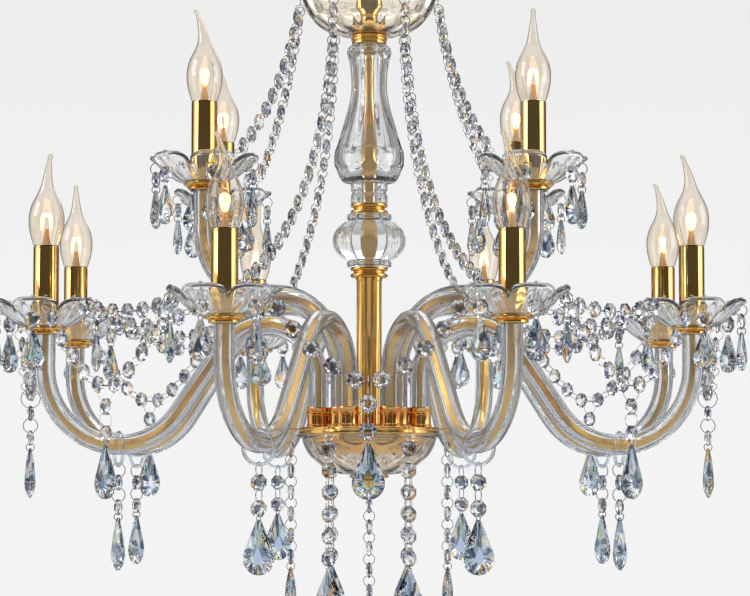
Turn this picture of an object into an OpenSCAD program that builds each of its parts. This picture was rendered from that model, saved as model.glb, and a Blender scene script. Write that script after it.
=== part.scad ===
// Two-tier crystal chandelier with twelve candle lamps, hung by the eye at its top.
// The origin is the centre of the hanging eye. Heights named *_h are above the hub plate.

/* [Hanging] */
// Height of the hanging eye's centre above the hub plate
eye_h = 490; // [484:1:540]
// Diameter of the hole in the hanging eye
eye_hole_d = 20; // [14:1:24]
// Diameter of the bar that the hanging eye is bent from
eye_bar = 7; // [5:0.5:9]
// Outer diameter of the hollow threaded rod through the column
rod_d = 12; // [10:0.5:14]
// Bore of the rod, which carries the supply leads
rod_bore = 8; // [5:0.5:8.5]

/* [Arms] */
// Distance from the axis to the lower candles
lower_reach = 342; // [320:1:370]
// Distance from the axis to the upper candles
upper_reach = 226; // [215:1:245]
// Height of the lower candle pans
lower_pan_h = 88.5; // [80:0.5:100]
// Height of the upper candle pans
upper_pan_h = 227; // [215:0.5:240]
// Radius of the circle of lower arm cups
lower_cup_ring = 56; // [55:0.5:57]
// Radius of the circle of upper arm cups
upper_cup_ring = 41; // [40:0.5:42]
// Outer diameter of the glass arm tube
arm_d = 20; // [17:0.5:20.5]
// Wall of the glass arm tube
arm_wall = 3; // [2:0.25:3.5]
// Bend radius of the lower arm's crest
crest_bend = 56; // [50:1:60]
// Height of the lower arm's crest, at the middle of the tube
crest_h = 105; // [98:1:112]
// Bend radius of the lower arm's sag
sag_bend = 75; // [70:1:80]
// Height of the lower arm's lowest point, at the middle of the tube
sag_h = -19; // [-24:1:-14]
// Bend radius where the upper arm leaves the hub
leave_bend = 80; // [70:1:85]
// Bend radius where the upper arm turns up to its candle
rise_bend = 60; // [50:1:65]
// Height of the upper arm's level run, at the middle of the tube
level_h = 130; // [126:1:136]
// Outer diameter of the metal conduit inside each arm
conduit_d = 10; // [9:0.5:11]
// Bore of the conduit
conduit_bore = 8; // [6:0.5:8.2]

/* [Candles] */
// Diameter of the gilt pan under each candle
pan_d = 40; // [36:1:44]
// Height of the pan
pan_t = 7; // [6:0.5:9]
// Outer diameter of the candle sleeve
sleeve_d = 25; // [24:0.5:26]
// Length of the candle sleeve
sleeve_len = 79; // [72:1:88]
// Wall of the candle sleeve
sleeve_wall = 0.7; // [0.5:0.1:1]
// Diameter of the bulb's screw cap
cap_d = 14; // [13:0.5:14.5]
// Length of the bulb's screw cap
cap_len = 23; // [20:1:26]
// Largest diameter of the glass bulb
bulb_d = 35; // [33:0.5:37]
// Length of the glass bulb
bulb_len = 90; // [84:1:96]
// Sideways reach of the bulb's bent tip
tip_reach = 9; // [4:0.5:12]
// Diameter of the scalloped drip dish
dish_d = 106; // [98:1:110]
// Height of the drip dish
dish_h = 27; // [24:1:30]
// Wall of the drip dish
dish_wall = 3; // [2.5:0.25:3.5]
// Width of the drip dish's flat lip
dish_lip = 9; // [8.5:0.5:10]

/* [Column] */
// Diameter of the gilt stem tube
stem_d = 27; // [24:0.5:30]
// Length of the stem tube
stem_len = 154; // [146:1:160]
// Diameter of the gilt caps above and below the glass ball
ball_cap_d = 38; // [34:1:40]
// Height of each gilt ball cap
ball_cap_h = 10.5; // [8:0.5:12]
// Diameter of the ribbed glass ball
ball_d = 75; // [70:1:80]
// Height of the glass ball over its collars
ball_h = 55; // [52:1:58]
// Diameter of the glass ball's collars
ball_collar_d = 46; // [42:1:48]
// Diameter of the plain glass collar under the vase
vase_collar_d = 38; // [34:1:40]
// Height of the plain glass collar
vase_collar_h = 22; // [18:1:26]
// Height of the glass vase
vase_h = 143; // [136:1:148]
// Diameter of the vase at its belly
belly_d = 72; // [68:1:76]
// Diameter of the vase at its neck
neck_d = 37; // [34:1:40]
// Diameter of the vase at its lip
lip_d = 46; // [43:1:50]
// Diameter of the gilt ring on the vase
vase_ring_d = 37; // [34:1:42]
// Height of the gilt ring
vase_ring_h = 10; // [8:0.5:12]
// Diameter of the crown dish and the hub bowl
bowl_d = 148; // [144:1:152]
// Depth of the crown dish and the hub bowl
bowl_h = 41; // [40:1:44]
// Wall of the crown dish and the hub bowl
bowl_wall = 3; // [2.5:0.25:3.25]
// Width of the flat lip of the crown dish and the hub bowl
bowl_lip = 5; // [4.5:0.5:5.5]

/* [Hub] */
// Diameter of the hub plate
plate_d = 143; // [142:0.5:144]
// Thickness of the hub plate
plate_t = 2.5; // [2:0.5:3]
// Depth of the plate's turned-down rim
plate_rim = 7; // [6:0.5:8]
// Height of an arm cup
cup_h = 20; // [16:1:22]
// Thickness of a cup's floor and wall
cup_wall = 0.8; // [0.6:0.1:0.9]
// Number of hook lugs on the hub plate
lugs = 6; // [4:2:6]
// Distance from the axis to the hub strands
lug_ring = 80; // [78:0.5:84]
// Size of an arm nut across its flats
nut_af = 14; // [13:0.5:15]
// Thickness of an arm nut
nut_t = 3; // [2:0.5:3]

/* [Crystals] */
// Width of an octagon crystal across its flats
bead_d = 15.5; // [14:0.5:16]
// Thickness of an octagon crystal
bead_t = 5; // [4:0.5:5.5]
// Distance from an octagon's edge to its wire hole
bead_inset = 2.6; // [2.4:0.1:3]
// Thickness of the wire in links and pins
wire_t = 0.8; // [0.6:0.1:1]
// Radius of a link between two octagons
link_r = 5.8; // [5:0.2:6.2]
// Slope of a deep swag at its ends, in degrees
deep_slope = 58; // [55:1:61]
// Number of octagons in each strand from the hub
hub_beads = 6; // [4:1:7]
// Outer diameter of the crystal ring on each lower arm
loop_d = 36; // [34:1:38]
// Thickness of the crystal ring
loop_t = 3.5; // [3:0.25:4]

/* [Hidden] */
$fn = 48;
lower_arms = 8;
upper_arms = 4;
dish_lobes = 6;
deep_beads = 10;        // octagons in a deep swag
shallow_beads = 7;      // octagons in a shallow swag
small_tear_w = 23;      // teardrops on the drip dishes
small_tear_len = 38;
small_tear_t = 9;
swag_tear_w = 30;       // teardrops under the deep swags
swag_tear_len = 51;
swag_tear_t = 10;
big_tear_w = 32;        // teardrops under the crystal rings and the hub
ring_tear_len = 52;
hub_tear_len = 50;
big_tear_t = 11;
swag_link_r = 7.5;      // links under the deep swags
ring_link_r = 7;        // links under the crystal rings
hub_z = -eye_h;
clear = 0.3;            // standing gap between pieces of different bodies
slip = 0.1;             // radial slip of a rod in its hole
lap = 0.5;              // how far a straight run of an arm reaches over a bend
tuck = 0.02;            // how much thinner a bend is than its runs
lower_turn = 180 / lower_arms;
upper_turn = 180 / upper_arms;
arm_in = arm_d / 2 - arm_wall;
stem_wall = 1.5;
nut_wall = 3;
hole_off = bead_d / 2 - bead_inset;   // from an octagon's middle to its wire hole
wire_hole_r = wire_t + 0.7;

// Column heights, each standing on the piece below
low_cap_h = stem_len;
ball_base_h = low_cap_h + ball_cap_h;
high_cap_h = ball_base_h + ball_h;
collar_base_h = high_cap_h + ball_cap_h;
vase_base_h = collar_base_h + vase_collar_h;
ring_base_h = vase_base_h + vase_h;
crown_base_h = ring_base_h + vase_ring_h;
crown_rim_h = crown_base_h + bowl_h;
cap_base_h = crown_base_h + bowl_wall;
cap_dome = 32;
cap_top_h = cap_base_h + cap_dome;
eye_r = eye_hole_d / 2;
eye_out = eye_r + eye_bar;
rod_top_h = eye_h - eye_out - 2;
bowl_top = -plate_rim;
bowl_base = bowl_top - bowl_h;
finial_h = 8;
rod_foot = bowl_base - finial_h + 2;
rod_hole_r = rod_d / 2 + slip;

// Candle stack, above the underside of its pan
seat_depth = 3;
pan_top = pan_t;
cup_r = arm_d / 2 + clear + cup_wall;
conduit_up = pan_top + 8;
conduit_down = -(plate_t + nut_t + 3);
holder_d = sleeve_d - 2 * sleeve_wall - 2.4;
holder_top = pan_top + sleeve_len - 4;
bulb_base = pan_top + sleeve_len + clear;
hook_r = dish_d / 2 - 3.5;
pin_down = 3;
strand_pin = 7;         // length of a crown strand's pins past the glass
lip_up = dish_h - dish_wall;          // from the drip dish's foot to the underside of its lip
lower_drop_turns = [0, 60, 168, 300];
upper_drop_turns = [0, 60, 120, 168, 240, 300];
deep_turn = 74;
shallow_turns = [106, 134];
crown_turn = 188;
hook_turns = concat(
    upper_drop_turns, shallow_turns, [deep_turn, crown_turn],
    [360 - deep_turn, 360 - shallow_turns[0], 360 - shallow_turns[1]]
);

// Where each bent tip points, in degrees from +X, arm by arm from the right front
lower_tips = [200, 250, 60, 100, 300, 180, 190, 170];
upper_tips = [180, 150, 190, 270];

// Crown strands: crown hook's direction, arm's direction, reach, pan height, count, bow in degrees
crown_hook_r = bowl_d / 2 - bowl_lip / 2;
crown_runs = [
    for (side = [0, 180], way = [-1, 1])
        [side + way * 6, side + way * upper_turn, upper_reach, upper_pan_h, 10, 17],
    for (side = [90, 270], way = [-1, 1])
        [side + way * 30, side + way * lower_turn, lower_reach, lower_pan_h, 19, 34]
];

// Small helpers

function unit(v) = v / norm(v);
function polar(r, a, z) = [r * cos(a), r * sin(a), z];
function sum(list, n) = n < 1 ? list[0] : list[n] + sum(list, n - 1);
function lower_turn_of(i) = lower_turn + i * 2 * lower_turn;
function upper_turn_of(i) = upper_turn + i * 2 * upper_turn;

// Places children with local X along t and local Z along n, at c
module framed(c, t, n) {
    b = cross(n, t);
    multmatrix([
        [t.x, b.x, n.x, c.x],
        [t.y, b.y, n.y, c.y],
        [t.z, b.z, n.z, c.z],
        [0, 0, 0, 1]
    ]) children();
}

module at_hub(h = 0) translate([0, 0, hub_z + h]) children();

module at_lower(i) rotate(lower_turn_of(i)) children();

module at_upper(i) rotate(upper_turn_of(i)) children();

module each_arm_foot() at_hub() {
    for (i = [0 : lower_arms - 1]) at_lower(i) translate([lower_cup_ring, 0, 0]) children();
    for (i = [0 : upper_arms - 1]) at_upper(i) translate([upper_cup_ring, 0, 0]) children();
}

module each_candle() at_hub() {
    for (i = [0 : lower_arms - 1]) at_lower(i) translate([lower_reach, 0, lower_pan_h]) children();
    for (i = [0 : upper_arms - 1]) at_upper(i) translate([upper_reach, 0, upper_pan_h]) children();
}

// A turned ring: outer and inner radius, from z to z + h
module washer(r_out, r_in, h, z = 0) translate([0, 0, z]) difference() {
    cylinder(r = r_out, h = h);
    translate([0, 0, -1]) cylinder(r = r_in, h = h + 2);
}

// Arm routes

module pipe_section(r_out, r_in) difference() {
    circle(r_out);
    if (r_in > 0) circle(r_in);
}

// A straight run along +Z, lapping into the bends at the ends that ask for it
module run(len, r_out, r_in, lap_start = lap, lap_end = lap) translate([0, 0, -lap_start])
    linear_extrude(height = len + lap_start + lap_end) pipe_section(r_out, r_in);

// A bend in the XZ plane round [x, z], from angle a0 to a1. One that runs lap is thinner by a hair.
module bend(x, z, radius, a0, a1, r_out, r_in, thin = tuck) translate([x, 0, z])
    rotate([90, 0, 0]) rotate(a0) rotate_extrude(angle = a1 - a0)
        translate([radius, 0]) pipe_section(r_out - thin, r_in > 0 ? r_in + thin : 0);

crest_x = lower_cup_ring + crest_bend;
crest_z = crest_h - crest_bend;
sag_x = lower_reach - sag_bend;
sag_z = sag_h + sag_bend;
mid_span = norm([sag_x - crest_x, sag_z - crest_z]);
slope_turn = atan2(sag_z - crest_z, sag_x - crest_x) + acos((crest_bend + sag_bend) / mid_span);
slope_len = sqrt(pow(mid_span, 2) - pow(crest_bend + sag_bend, 2));

module lower_route(r_out, r_in, foot, head) {
    translate([lower_cup_ring, 0, foot]) run(crest_z - foot, r_out, r_in, lap_start = 0);
    bend(crest_x, crest_z, crest_bend, slope_turn, 180, r_out, r_in);
    translate([crest_x + crest_bend * cos(slope_turn), 0, crest_z + crest_bend * sin(slope_turn)])
        rotate([0, 180 - slope_turn, 0]) run(slope_len, r_out, r_in);
    bend(sag_x, sag_z, sag_bend, 180 + slope_turn, 360, r_out, r_in);
    translate([lower_reach, 0, sag_z]) run(lower_pan_h + head - sag_z, r_out, r_in, lap_end = 0);
}

leave_x = upper_cup_ring + leave_bend;
leave_z = level_h - leave_bend;
rise_x = upper_reach - rise_bend;
rise_z = level_h + rise_bend;

// The bends turn through a right angle, so here the runs meet them face to face
module upper_route(r_out, r_in, foot, head) {
    translate([upper_cup_ring, 0, foot]) run(leave_z - foot, r_out, r_in, 0, 0);
    bend(leave_x, leave_z, leave_bend, 90, 180, r_out, r_in, thin = 0);
    translate([leave_x, 0, level_h]) rotate([0, 90, 0]) run(rise_x - leave_x, r_out, r_in, 0, 0);
    bend(rise_x, rise_z, rise_bend, 270, 360, r_out, r_in, thin = 0);
    translate([upper_reach, 0, rise_z]) run(upper_pan_h + head - rise_z, r_out, r_in, 0, 0);
}

module each_route(r_out, r_in, foot, head) at_hub() {
    for (i = [0 : lower_arms - 1]) at_lower(i) lower_route(r_out, r_in, foot, head);
    for (i = [0 : upper_arms - 1]) at_upper(i) upper_route(r_out, r_in, foot, head);
}

// Crystal chains

// An octagon crystal, its two wire holes along X
module octagon_bead() difference() {
    rotate(22.5) linear_extrude(height = bead_t, center = true) circle(d = bead_d / cos(22.5), $fn = 8);
    for (side = [-1, 1]) translate([side * hole_off, 0, 0])
        cylinder(r = wire_hole_r, h = bead_t + 2, center = true);
}

// A flat wire link of radius r from p to q, standing in the plane of the chain and the bead's face normal n
module link(p, q, n) {
    t = unit(q - p);
    framed((p + q) / 2, t, unit(cross(t, n))) linear_extrude(height = wire_t, center = true) difference() {
        circle(r = norm(q - p) / 2 + wire_t / 2);
        circle(r = norm(q - p) / 2 - wire_t / 2);
    }
}

// A headed pin, its foot at the origin and its head above a wall of thickness t
module pin(t, down = pin_down) {
    cylinder(r = wire_t / 2, h = down + t + wire_t);
    translate([0, 0, down + t + 0.2]) cylinder(r = 2 * wire_t + 0.4, h = wire_t);
}

// A teardrop crystal with its wire hole at the origin, hanging along -Z, faces along X and a thicker belly
module teardrop(w, len, t) {
    r = w / 2;
    tip = 3.6;
    drop = len - tip - r;
    lean = asin(r / (drop + tip));
    translate([0, 0, -drop]) rotate([0, 90, 0]) cylinder(r = 0.7 * r, h = t, center = true);
    rotate([90, 0, 90]) linear_extrude(height = bead_t, center = true) difference() {
        union() {
            translate([0, -drop]) circle(r);
            polygon([
                [0, tip],
                [-r * cos(lean), -drop + r * sin(lean)],
                [r * cos(lean), -drop + r * sin(lean)]
            ]);
        }
        circle(wire_hole_r);
    }
}

small_r = 4.2;          // radius of the short link above a teardrop

// How far a plumb chain's last octagon reaches down to its lower wire hole
function plumb_len(count, r, first_r) = 2 * first_r + 2 * hole_off + (count - 1) * (2 * r + 2 * hole_off);

// A plumb chain of octagons from a hook at the origin, its first link of its own radius. Faces look along X.
module plumb_chain(count, r, first_r) {
    pitch = 2 * r + 2 * hole_off;
    first = -2 * first_r - hole_off;
    for (i = [0 : count - 1]) {
        translate([0, 0, first - i * pitch]) rotate([0, 90, 0]) octagon_bead();
        top = i == 0 ? 0 : first - (i - 1) * pitch - hole_off;
        link([0, 0, top], [0, 0, first - i * pitch + hole_off], [1, 0, 0]);
    }
}

// A plumb chain that ends in a teardrop
module plumb_drop(count, r, first_r, drop_w, drop_len, drop_t) {
    plumb_chain(count, r, first_r);
    foot = -plumb_len(count, r, first_r);
    link([0, 0, foot], [0, 0, foot - 2 * small_r], [1, 0, 0]);
    translate([0, 0, foot - 2 * small_r]) teardrop(drop_w, drop_len, drop_t);
}

// A hanging chain in the vertical plane through a and b, its slope running from chord - bow to chord + bow.
// A pendant given as its child hangs from its middle link by a link of radius hang_r.
module swag(a, b, count, bow, ease) {
    flat = [b.x - a.x, b.y - a.y, 0];
    along = unit(flat);
    face = cross(along, [0, 0, 1]);
    chord = atan2(b.z - a.z, norm(flat));
    turns = [for (i = [0 : count]) let (s = 2 * i / count - 1) bow * sign(s) * pow(abs(s), ease)];
    gains = [for (turn = turns) cos(turn)];
    r = (norm(b - a) + hole_off * (gains[0] + gains[count]) - 2 * hole_off * sum(gains, count))
        / (2 * sum(gains, count));
    ways = [for (turn = turns) along * cos(chord + turn) + [0, 0, 1] * sin(chord + turn)];
    steps = [for (i = [0 : count]) ways[i] * (2 * r + (i == 0 || i == count ? 1 : 2) * hole_off)];
    mids = [for (i = [0 : count - 1]) a + sum(steps, i)];
    lies = [for (i = [0 : count - 1]) unit(ways[i] + ways[i + 1])];
    for (i = [0 : count - 1]) framed(mids[i], lies[i], face) octagon_bead();
    for (i = [0 : count]) {
        p = i == 0 ? a : mids[i - 1] + lies[i - 1] * hole_off;
        q = i == count ? b : mids[i] - lies[i] * hole_off;
        link(p, q, face);
    }
    half = count / 2;
    if ($children > 0)
        translate((mids[half - 1] + mids[half]) / 2 + [0, 0, hang_r - sqrt(pow(hang_r - wire_t - 0.1, 2) - pow(r, 2))])
            rotate(atan2(face.y, face.x)) children();
}

// Column pieces

module hanging_loop() color("goldenrod") difference() {
    union() {
        translate([0, eye_bar / 2, 0]) rotate([90, 0, 0]) cylinder(r = eye_out, h = eye_bar);
        at_hub(cap_top_h) cylinder(r = rod_d / 2 + nut_wall, h = eye_h - cap_top_h - eye_r - 2);
    }
    translate([0, eye_bar, 0]) rotate([90, 0, 0]) cylinder(r = eye_r, h = 2 * eye_bar);
    at_hub(cap_top_h - 1) cylinder(r = rod_hole_r, h = rod_top_h - cap_top_h + 2);
}

module top_cap() color("goldenrod") at_hub(cap_base_h) rotate_extrude() polygon(concat(
    [[rod_hole_r, 0], [21.5, 0], [21.5, 3]],
    [for (a = [0 : 15 : 90]) [20 - 9 * sin(a), 3 + (cap_dome - 3) * (1 - cos(a))]],
    [[rod_hole_r, cap_dome]]
));

// A glass bowl standing on its foot at z = 0, with a flat lip and a hole for the rod
foot_r = 22;
bowl_body_r = bowl_d / 2 - bowl_lip;
function bowl_curve(shift) = [for (a = [0 : 10 : 80])
    [foot_r + (bowl_body_r - foot_r) * sin(a) / sin(80) - shift * sin(a),
     (bowl_h - bowl_wall) * (1 - cos(a)) / (1 - cos(80)) + shift * cos(a)]];

module glass_bowl() rotate_extrude() polygon(concat(
    [[rod_hole_r, 0]],
    bowl_curve(0),
    [[bowl_d / 2, bowl_h - bowl_wall], [bowl_d / 2, bowl_h], [bowl_body_r - bowl_wall, bowl_h]],
    [for (i = [7 : -1 : 0]) bowl_curve(bowl_wall)[i]],
    [[rod_hole_r, bowl_wall]]
));

module crown_dish() color("gainsboro", 0.5) at_hub(crown_base_h) difference() {
    glass_bowl();
    for (run = crown_runs) rotate(run[0]) translate([crown_hook_r, 0, bowl_h - bowl_wall - 1])
        cylinder(r = wire_hole_r, h = bowl_wall + 2);
}

module vase_ring() color("goldenrod") at_hub(ring_base_h) washer(vase_ring_d / 2, rod_hole_r, vase_ring_h);

// Half widths of the vase at shares of its height
vase_shape = [
    [0, 0.42], [0.05, 0.72], [0.11, 0.94], [0.17, 1], [0.23, 0.95], [0.31, 0.75],
    [0.42, 0.5], [0.54, 0.2], [0.66, 0], [0.78, 0.02]
];
function vase_r(t) = neck_d / 2 + lookup(t, vase_shape) * (belly_d - neck_d) / 2;
vase_wall = 3;

module vase() color("gainsboro", 0.5) at_hub(vase_base_h) rotate_extrude() polygon(concat(
    [[rod_hole_r, 0]],
    [for (row = vase_shape) [vase_r(row[0]), row[0] * vase_h]],
    [[lip_d / 2 - 2, vase_h - 16], [lip_d / 2, vase_h - 10], [lip_d / 2, vase_h - 6], [vase_ring_d / 2, vase_h]],
    [[rod_hole_r, vase_h], [rod_hole_r, vase_h - vase_wall]],
    [for (i = [len(vase_shape) - 1 : -1 : 1])
        [vase_r(vase_shape[i][0]) - vase_wall, vase_shape[i][0] * vase_h]],
    [[rod_hole_r, vase_wall]]
));

module vase_collar() color("gainsboro", 0.5) at_hub(collar_base_h)
    washer(vase_collar_d / 2, rod_hole_r, vase_collar_h);

module ball_caps() color("goldenrod") {
    at_hub(low_cap_h) washer(ball_cap_d / 2, rod_hole_r, ball_cap_h);
    at_hub(high_cap_h) washer(ball_cap_d / 2, rod_hole_r, ball_cap_h);
}

collar_t = 6.5;
module glass_ball() color("gainsboro", 0.5) at_hub(ball_base_h) rotate_extrude() polygon(concat(
    [[rod_hole_r, 0], [ball_collar_d / 2, 0], [ball_collar_d / 2, collar_t]],
    [for (a = [-56 : 14 : 56]) [ball_d / 2 * cos(a), ball_h / 2 + (ball_h / 2 - collar_t) * sin(a) / sin(56)]],
    [[ball_collar_d / 2, ball_h - collar_t], [ball_collar_d / 2, ball_h], [rod_hole_r, ball_h]]
));

module stem_tube() color("goldenrod") at_hub() washer(stem_d / 2, stem_d / 2 - stem_wall, stem_len);

module centre_rod() color("darkgoldenrod") at_hub()
    washer(rod_d / 2, rod_bore / 2, rod_top_h - rod_foot, rod_foot);

// Hub pieces

module hub_plate() color("goldenrod") at_hub() difference() {
    union() {
        translate([0, 0, -plate_t]) cylinder(r = plate_d / 2, h = plate_t);
        washer(plate_d / 2, plate_d / 2 - 2, plate_rim, -plate_rim);
        for (i = [0 : lugs - 1]) rotate(i * 360 / lugs)
            translate([plate_d / 2 - 1, -2.5, -plate_t]) cube([lug_ring + 2.5 - plate_d / 2 + 1, 5, 1.5]);
    }
    translate([0, 0, -plate_t - 1]) cylinder(r = rod_hole_r, h = plate_t + 2);
    for (i = [0 : lower_arms - 1]) at_lower(i) translate([lower_cup_ring, 0, -plate_t - 1])
        cylinder(r = conduit_d / 2 + slip, h = plate_t + 2);
    for (i = [0 : upper_arms - 1]) at_upper(i) translate([upper_cup_ring, 0, -plate_t - 1])
        cylinder(r = conduit_d / 2 + slip, h = plate_t + 2);
    for (i = [0 : lugs - 1]) rotate(i * 360 / lugs) translate([lug_ring, 0, -plate_t - 1])
        cylinder(r = wire_hole_r, h = plate_t + 2);
}

module arm_cups() color("goldenrod") each_arm_foot() difference() {
    cylinder(r = cup_r, h = cup_h);
    translate([0, 0, cup_wall]) cylinder(r = arm_d / 2 + clear, h = cup_h);
    translate([0, 0, -1]) cylinder(r = conduit_d / 2 + slip, h = cup_wall + 2);
}

module arm_nuts() color("darkgoldenrod") each_arm_foot() translate([0, 0, -plate_t - nut_t]) difference() {
    cylinder(d = nut_af / cos(30), h = nut_t, $fn = 6);
    translate([0, 0, -1]) cylinder(r = conduit_d / 2 + slip, h = nut_t + 2);
}

cover_t = 1;
cover_brim_r = plate_d / 2 - 2 - clear;
cover_r = bowl_body_r - bowl_wall - 2.8;
cover_inside = cover_r < cover_brim_r;
// The step lies inside the plate's rim, or under it where the cover is the wider of the two
cover_step = cover_inside ? clear - plate_rim : -plate_rim - clear - cover_t;
cover_step_out = cover_inside ? cover_step : cover_step + cover_t;
cover_step_in = cover_inside ? cover_step + cover_t : cover_step;
cover_bend = -14;
cover_floor = -27;
module wiring_cover() color("goldenrod") at_hub() rotate_extrude() polygon([
    [rod_hole_r, cover_floor],
    [cover_r - 16, cover_floor],
    [cover_r, cover_bend],
    [cover_r, cover_step_out],
    [cover_brim_r, cover_step_out],
    [cover_brim_r, -plate_t],
    [cover_brim_r - cover_t, -plate_t],
    [cover_brim_r - cover_t, cover_step_in],
    [cover_r - cover_t, cover_step_in],
    [cover_r - cover_t, cover_bend + cover_t / 2],
    [cover_r - 16 - cover_t / 2, cover_floor + cover_t],
    [rod_hole_r, cover_floor + cover_t]
]);

module terminal_block() color("ivory") at_hub(cover_floor + cover_t)
    translate([-20, -30, 0]) difference() {
        cube([40, 14, 9]);
        for (i = [0 : 3]) translate([5 + i * 10, 4, 4]) cylinder(r = 2, h = 6);
    }

module hub_bowl() color("gainsboro", 0.5) at_hub(bowl_base) glass_bowl();

finial_eye_r = 4;
finial_wire = 1.2;
module bowl_finial() color("goldenrod") at_hub(bowl_base - finial_h) {
    difference() {
        union() {
            translate([0, 0, finial_h - 4]) cylinder(r = 20, h = 4);
            cylinder(r = 14, h = finial_h);
        }
        translate([0, 0, 2]) cylinder(r = rod_hole_r, h = finial_h);
    }
    translate([-finial_wire / 2, 0, -finial_eye_r]) rotate([0, 90, 0]) linear_extrude(height = finial_wire)
        pipe_section(finial_eye_r + finial_wire / 2, finial_eye_r - finial_wire / 2);
}

// Arms, their conduits and leads

module lower_arm(i) color("gainsboro", 0.5) at_hub() at_lower(i)
    lower_route(arm_d / 2, arm_in, cup_wall, seat_depth - clear);

module upper_arm(i) color("gainsboro", 0.5) at_hub() at_upper(i)
    upper_route(arm_d / 2, arm_in, cup_wall, seat_depth - clear);

module arm_conduits() color("gold") each_route(conduit_d / 2, conduit_bore / 2, conduit_down, conduit_up);

lead_r = conduit_bore / 2 - 0.6;
module arm_wires() color("white") each_route(lead_r, 0, conduit_down - 2, conduit_up + 1);

// Candles

module candle_pans() color("goldenrod") each_candle() difference() {
    union() {
        translate([0, 0, pan_t - 3]) cylinder(r = pan_d / 2, h = 3);
        cylinder(r = pan_d / 2 - 5, h = pan_t);
    }
    translate([0, 0, -1]) cylinder(r = arm_d / 2 + clear, h = seat_depth + 1);
    translate([0, 0, -1]) cylinder(r = conduit_d / 2 + slip, h = pan_t + 2);
}

// The drip dish's flank as shares of its reach and its rise, from the foot to the flat lip
dish_flank = [[0, 0], [0.3, 0.2], [0.6, 0.52], [0.85, 0.85], [1, 1]];
dish_lip_r = dish_d / 2 - dish_lip;
function flank(shift) = [for (row = dish_flank)
    [pan_d / 2 + row[0] * (dish_lip_r - pan_d / 2) - shift * row[1], row[1] * lip_up + shift]];

// The scallops only cut the lip
module bobeche() difference() {
    rotate_extrude() polygon(concat(
        [[sleeve_d / 2 + clear, 0]],
        flank(0),
        [[dish_d / 2, lip_up], [dish_d / 2, dish_h]],
        [for (i = [len(dish_flank) - 1 : -1 : 0]) flank(dish_wall)[i]],
        [[sleeve_d / 2 + clear, dish_wall]]
    ));
    for (i = [0 : dish_lobes - 1]) rotate((i + 0.5) * 360 / dish_lobes)
        translate([dish_d / 2 + 5.5, 0, lip_up - 1]) cylinder(r = 13, h = dish_wall + 2);
    for (turn = hook_turns) rotate(turn) translate([hook_r, 0, lip_up - 1])
        cylinder(r = wire_hole_r, h = dish_wall + 2);
}

module bobeches() color("gainsboro", 0.5) each_candle() translate([0, 0, pan_top]) bobeche();

module candle_sleeves() color("goldenrod") each_candle()
    washer(sleeve_d / 2, sleeve_d / 2 - sleeve_wall, sleeve_len, pan_top);

module lamp_holders() color("ivory") each_candle() difference() {
    translate([0, 0, pan_top]) cylinder(r = holder_d / 2, h = holder_top - pan_top);
    translate([0, 0, pan_top - 1]) cylinder(r = conduit_d / 2 + slip, h = conduit_up - pan_top + 3);
    translate([0, 0, bulb_base - cap_len - 1]) cylinder(r = cap_d / 2 + clear, h = cap_len);
}

// Half width of the bulb at shares of its length
bulb_shape = [
    [0, 0.7], [0.06, 0.79], [0.13, 0.9], [0.2, 0.98], [0.27, 1], [0.34, 0.985], [0.42, 0.89],
    [0.5, 0.72], [0.58, 0.5], [0.66, 0.34], [0.75, 0.25], [0.85, 0.2], [0.94, 0.165], [0.985, 0.12], [1, 0.02]
];
bulb_sides = 12;
bend_from = 0.55;
function tip_shift(t) = t < bend_from ? 0 : tip_reach * pow((t - bend_from) / (1 - bend_from), 2);

module bulb_glass() {
    rows = len(bulb_shape);
    points = [for (row = bulb_shape, k = [0 : bulb_sides - 1])
        let (r = row[1] * bulb_d / 2, a = k * 360 / bulb_sides)
        [r * cos(a) + tip_shift(row[0]), r * sin(a), row[0] * bulb_len]];
    walls = [for (j = [0 : rows - 2], k = [0 : bulb_sides - 1])
        let (next = (k + 1) % bulb_sides)
        [j * bulb_sides + next, j * bulb_sides + k, (j + 1) * bulb_sides + k, (j + 1) * bulb_sides + next]];
    base = [for (k = [0 : bulb_sides - 1]) k];
    crown = [for (k = [bulb_sides - 1 : -1 : 0]) (rows - 1) * bulb_sides + k];
    polyhedron(points, concat(walls, [base, crown]));
}

module bulb(turn) translate([0, 0, bulb_base]) rotate(turn) {
    bulb_glass();
    translate([0, 0, -cap_len + 1]) cylinder(r = cap_d / 2, h = cap_len - 1);
}

module lower_bulb(i) color("orange", 0.6) at_hub() at_lower(i)
    translate([lower_reach, 0, lower_pan_h]) bulb(lower_tips[i] - lower_turn_of(i));

module upper_bulb(i) color("orange", 0.6) at_hub() at_upper(i)
    translate([upper_reach, 0, upper_pan_h]) bulb(upper_tips[i] - upper_turn_of(i));

// Crystal trimming

hook_foot = pan_top + lip_up - pin_down;

// Foot of a pin on a drip dish, in the hub's frame
function hook_at(reach, pan_h, arm_turn, turn) =
    polar(reach, arm_turn, pan_h + hook_foot) + polar(hook_r, arm_turn + turn, 0);

function lower_hook(i, turn) = hook_at(lower_reach, lower_pan_h, lower_turn_of(i), turn);

function crown_hook(turn) = polar(crown_hook_r, turn, crown_rim_h - bowl_wall - strand_pin);

// These strands pull up on the drip dishes, so their lower pins stand above the lip with their heads below
module crown_strands() color("lightsteelblue") at_hub() {
    for (run = crown_runs) {
        foot = hook_at(run[2], run[3], run[1], crown_turn) + [0, 0, pin_down + dish_wall + strand_pin];
        swag(crown_hook(run[0]), foot, run[4], run[5], 1);
        translate(foot) mirror([0, 0, 1]) pin(dish_wall, strand_pin);
        translate(crown_hook(run[0])) pin(bowl_wall, strand_pin);
    }
}

module pinned_swag(i, turn, count, bow, ease) {
    a = lower_hook(i, turn);
    b = lower_hook(i + 1, -turn);
    translate(a) pin(dish_wall);
    translate(b) pin(dish_wall);
    swag(a, b, count, bow, ease) children();
}

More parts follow.
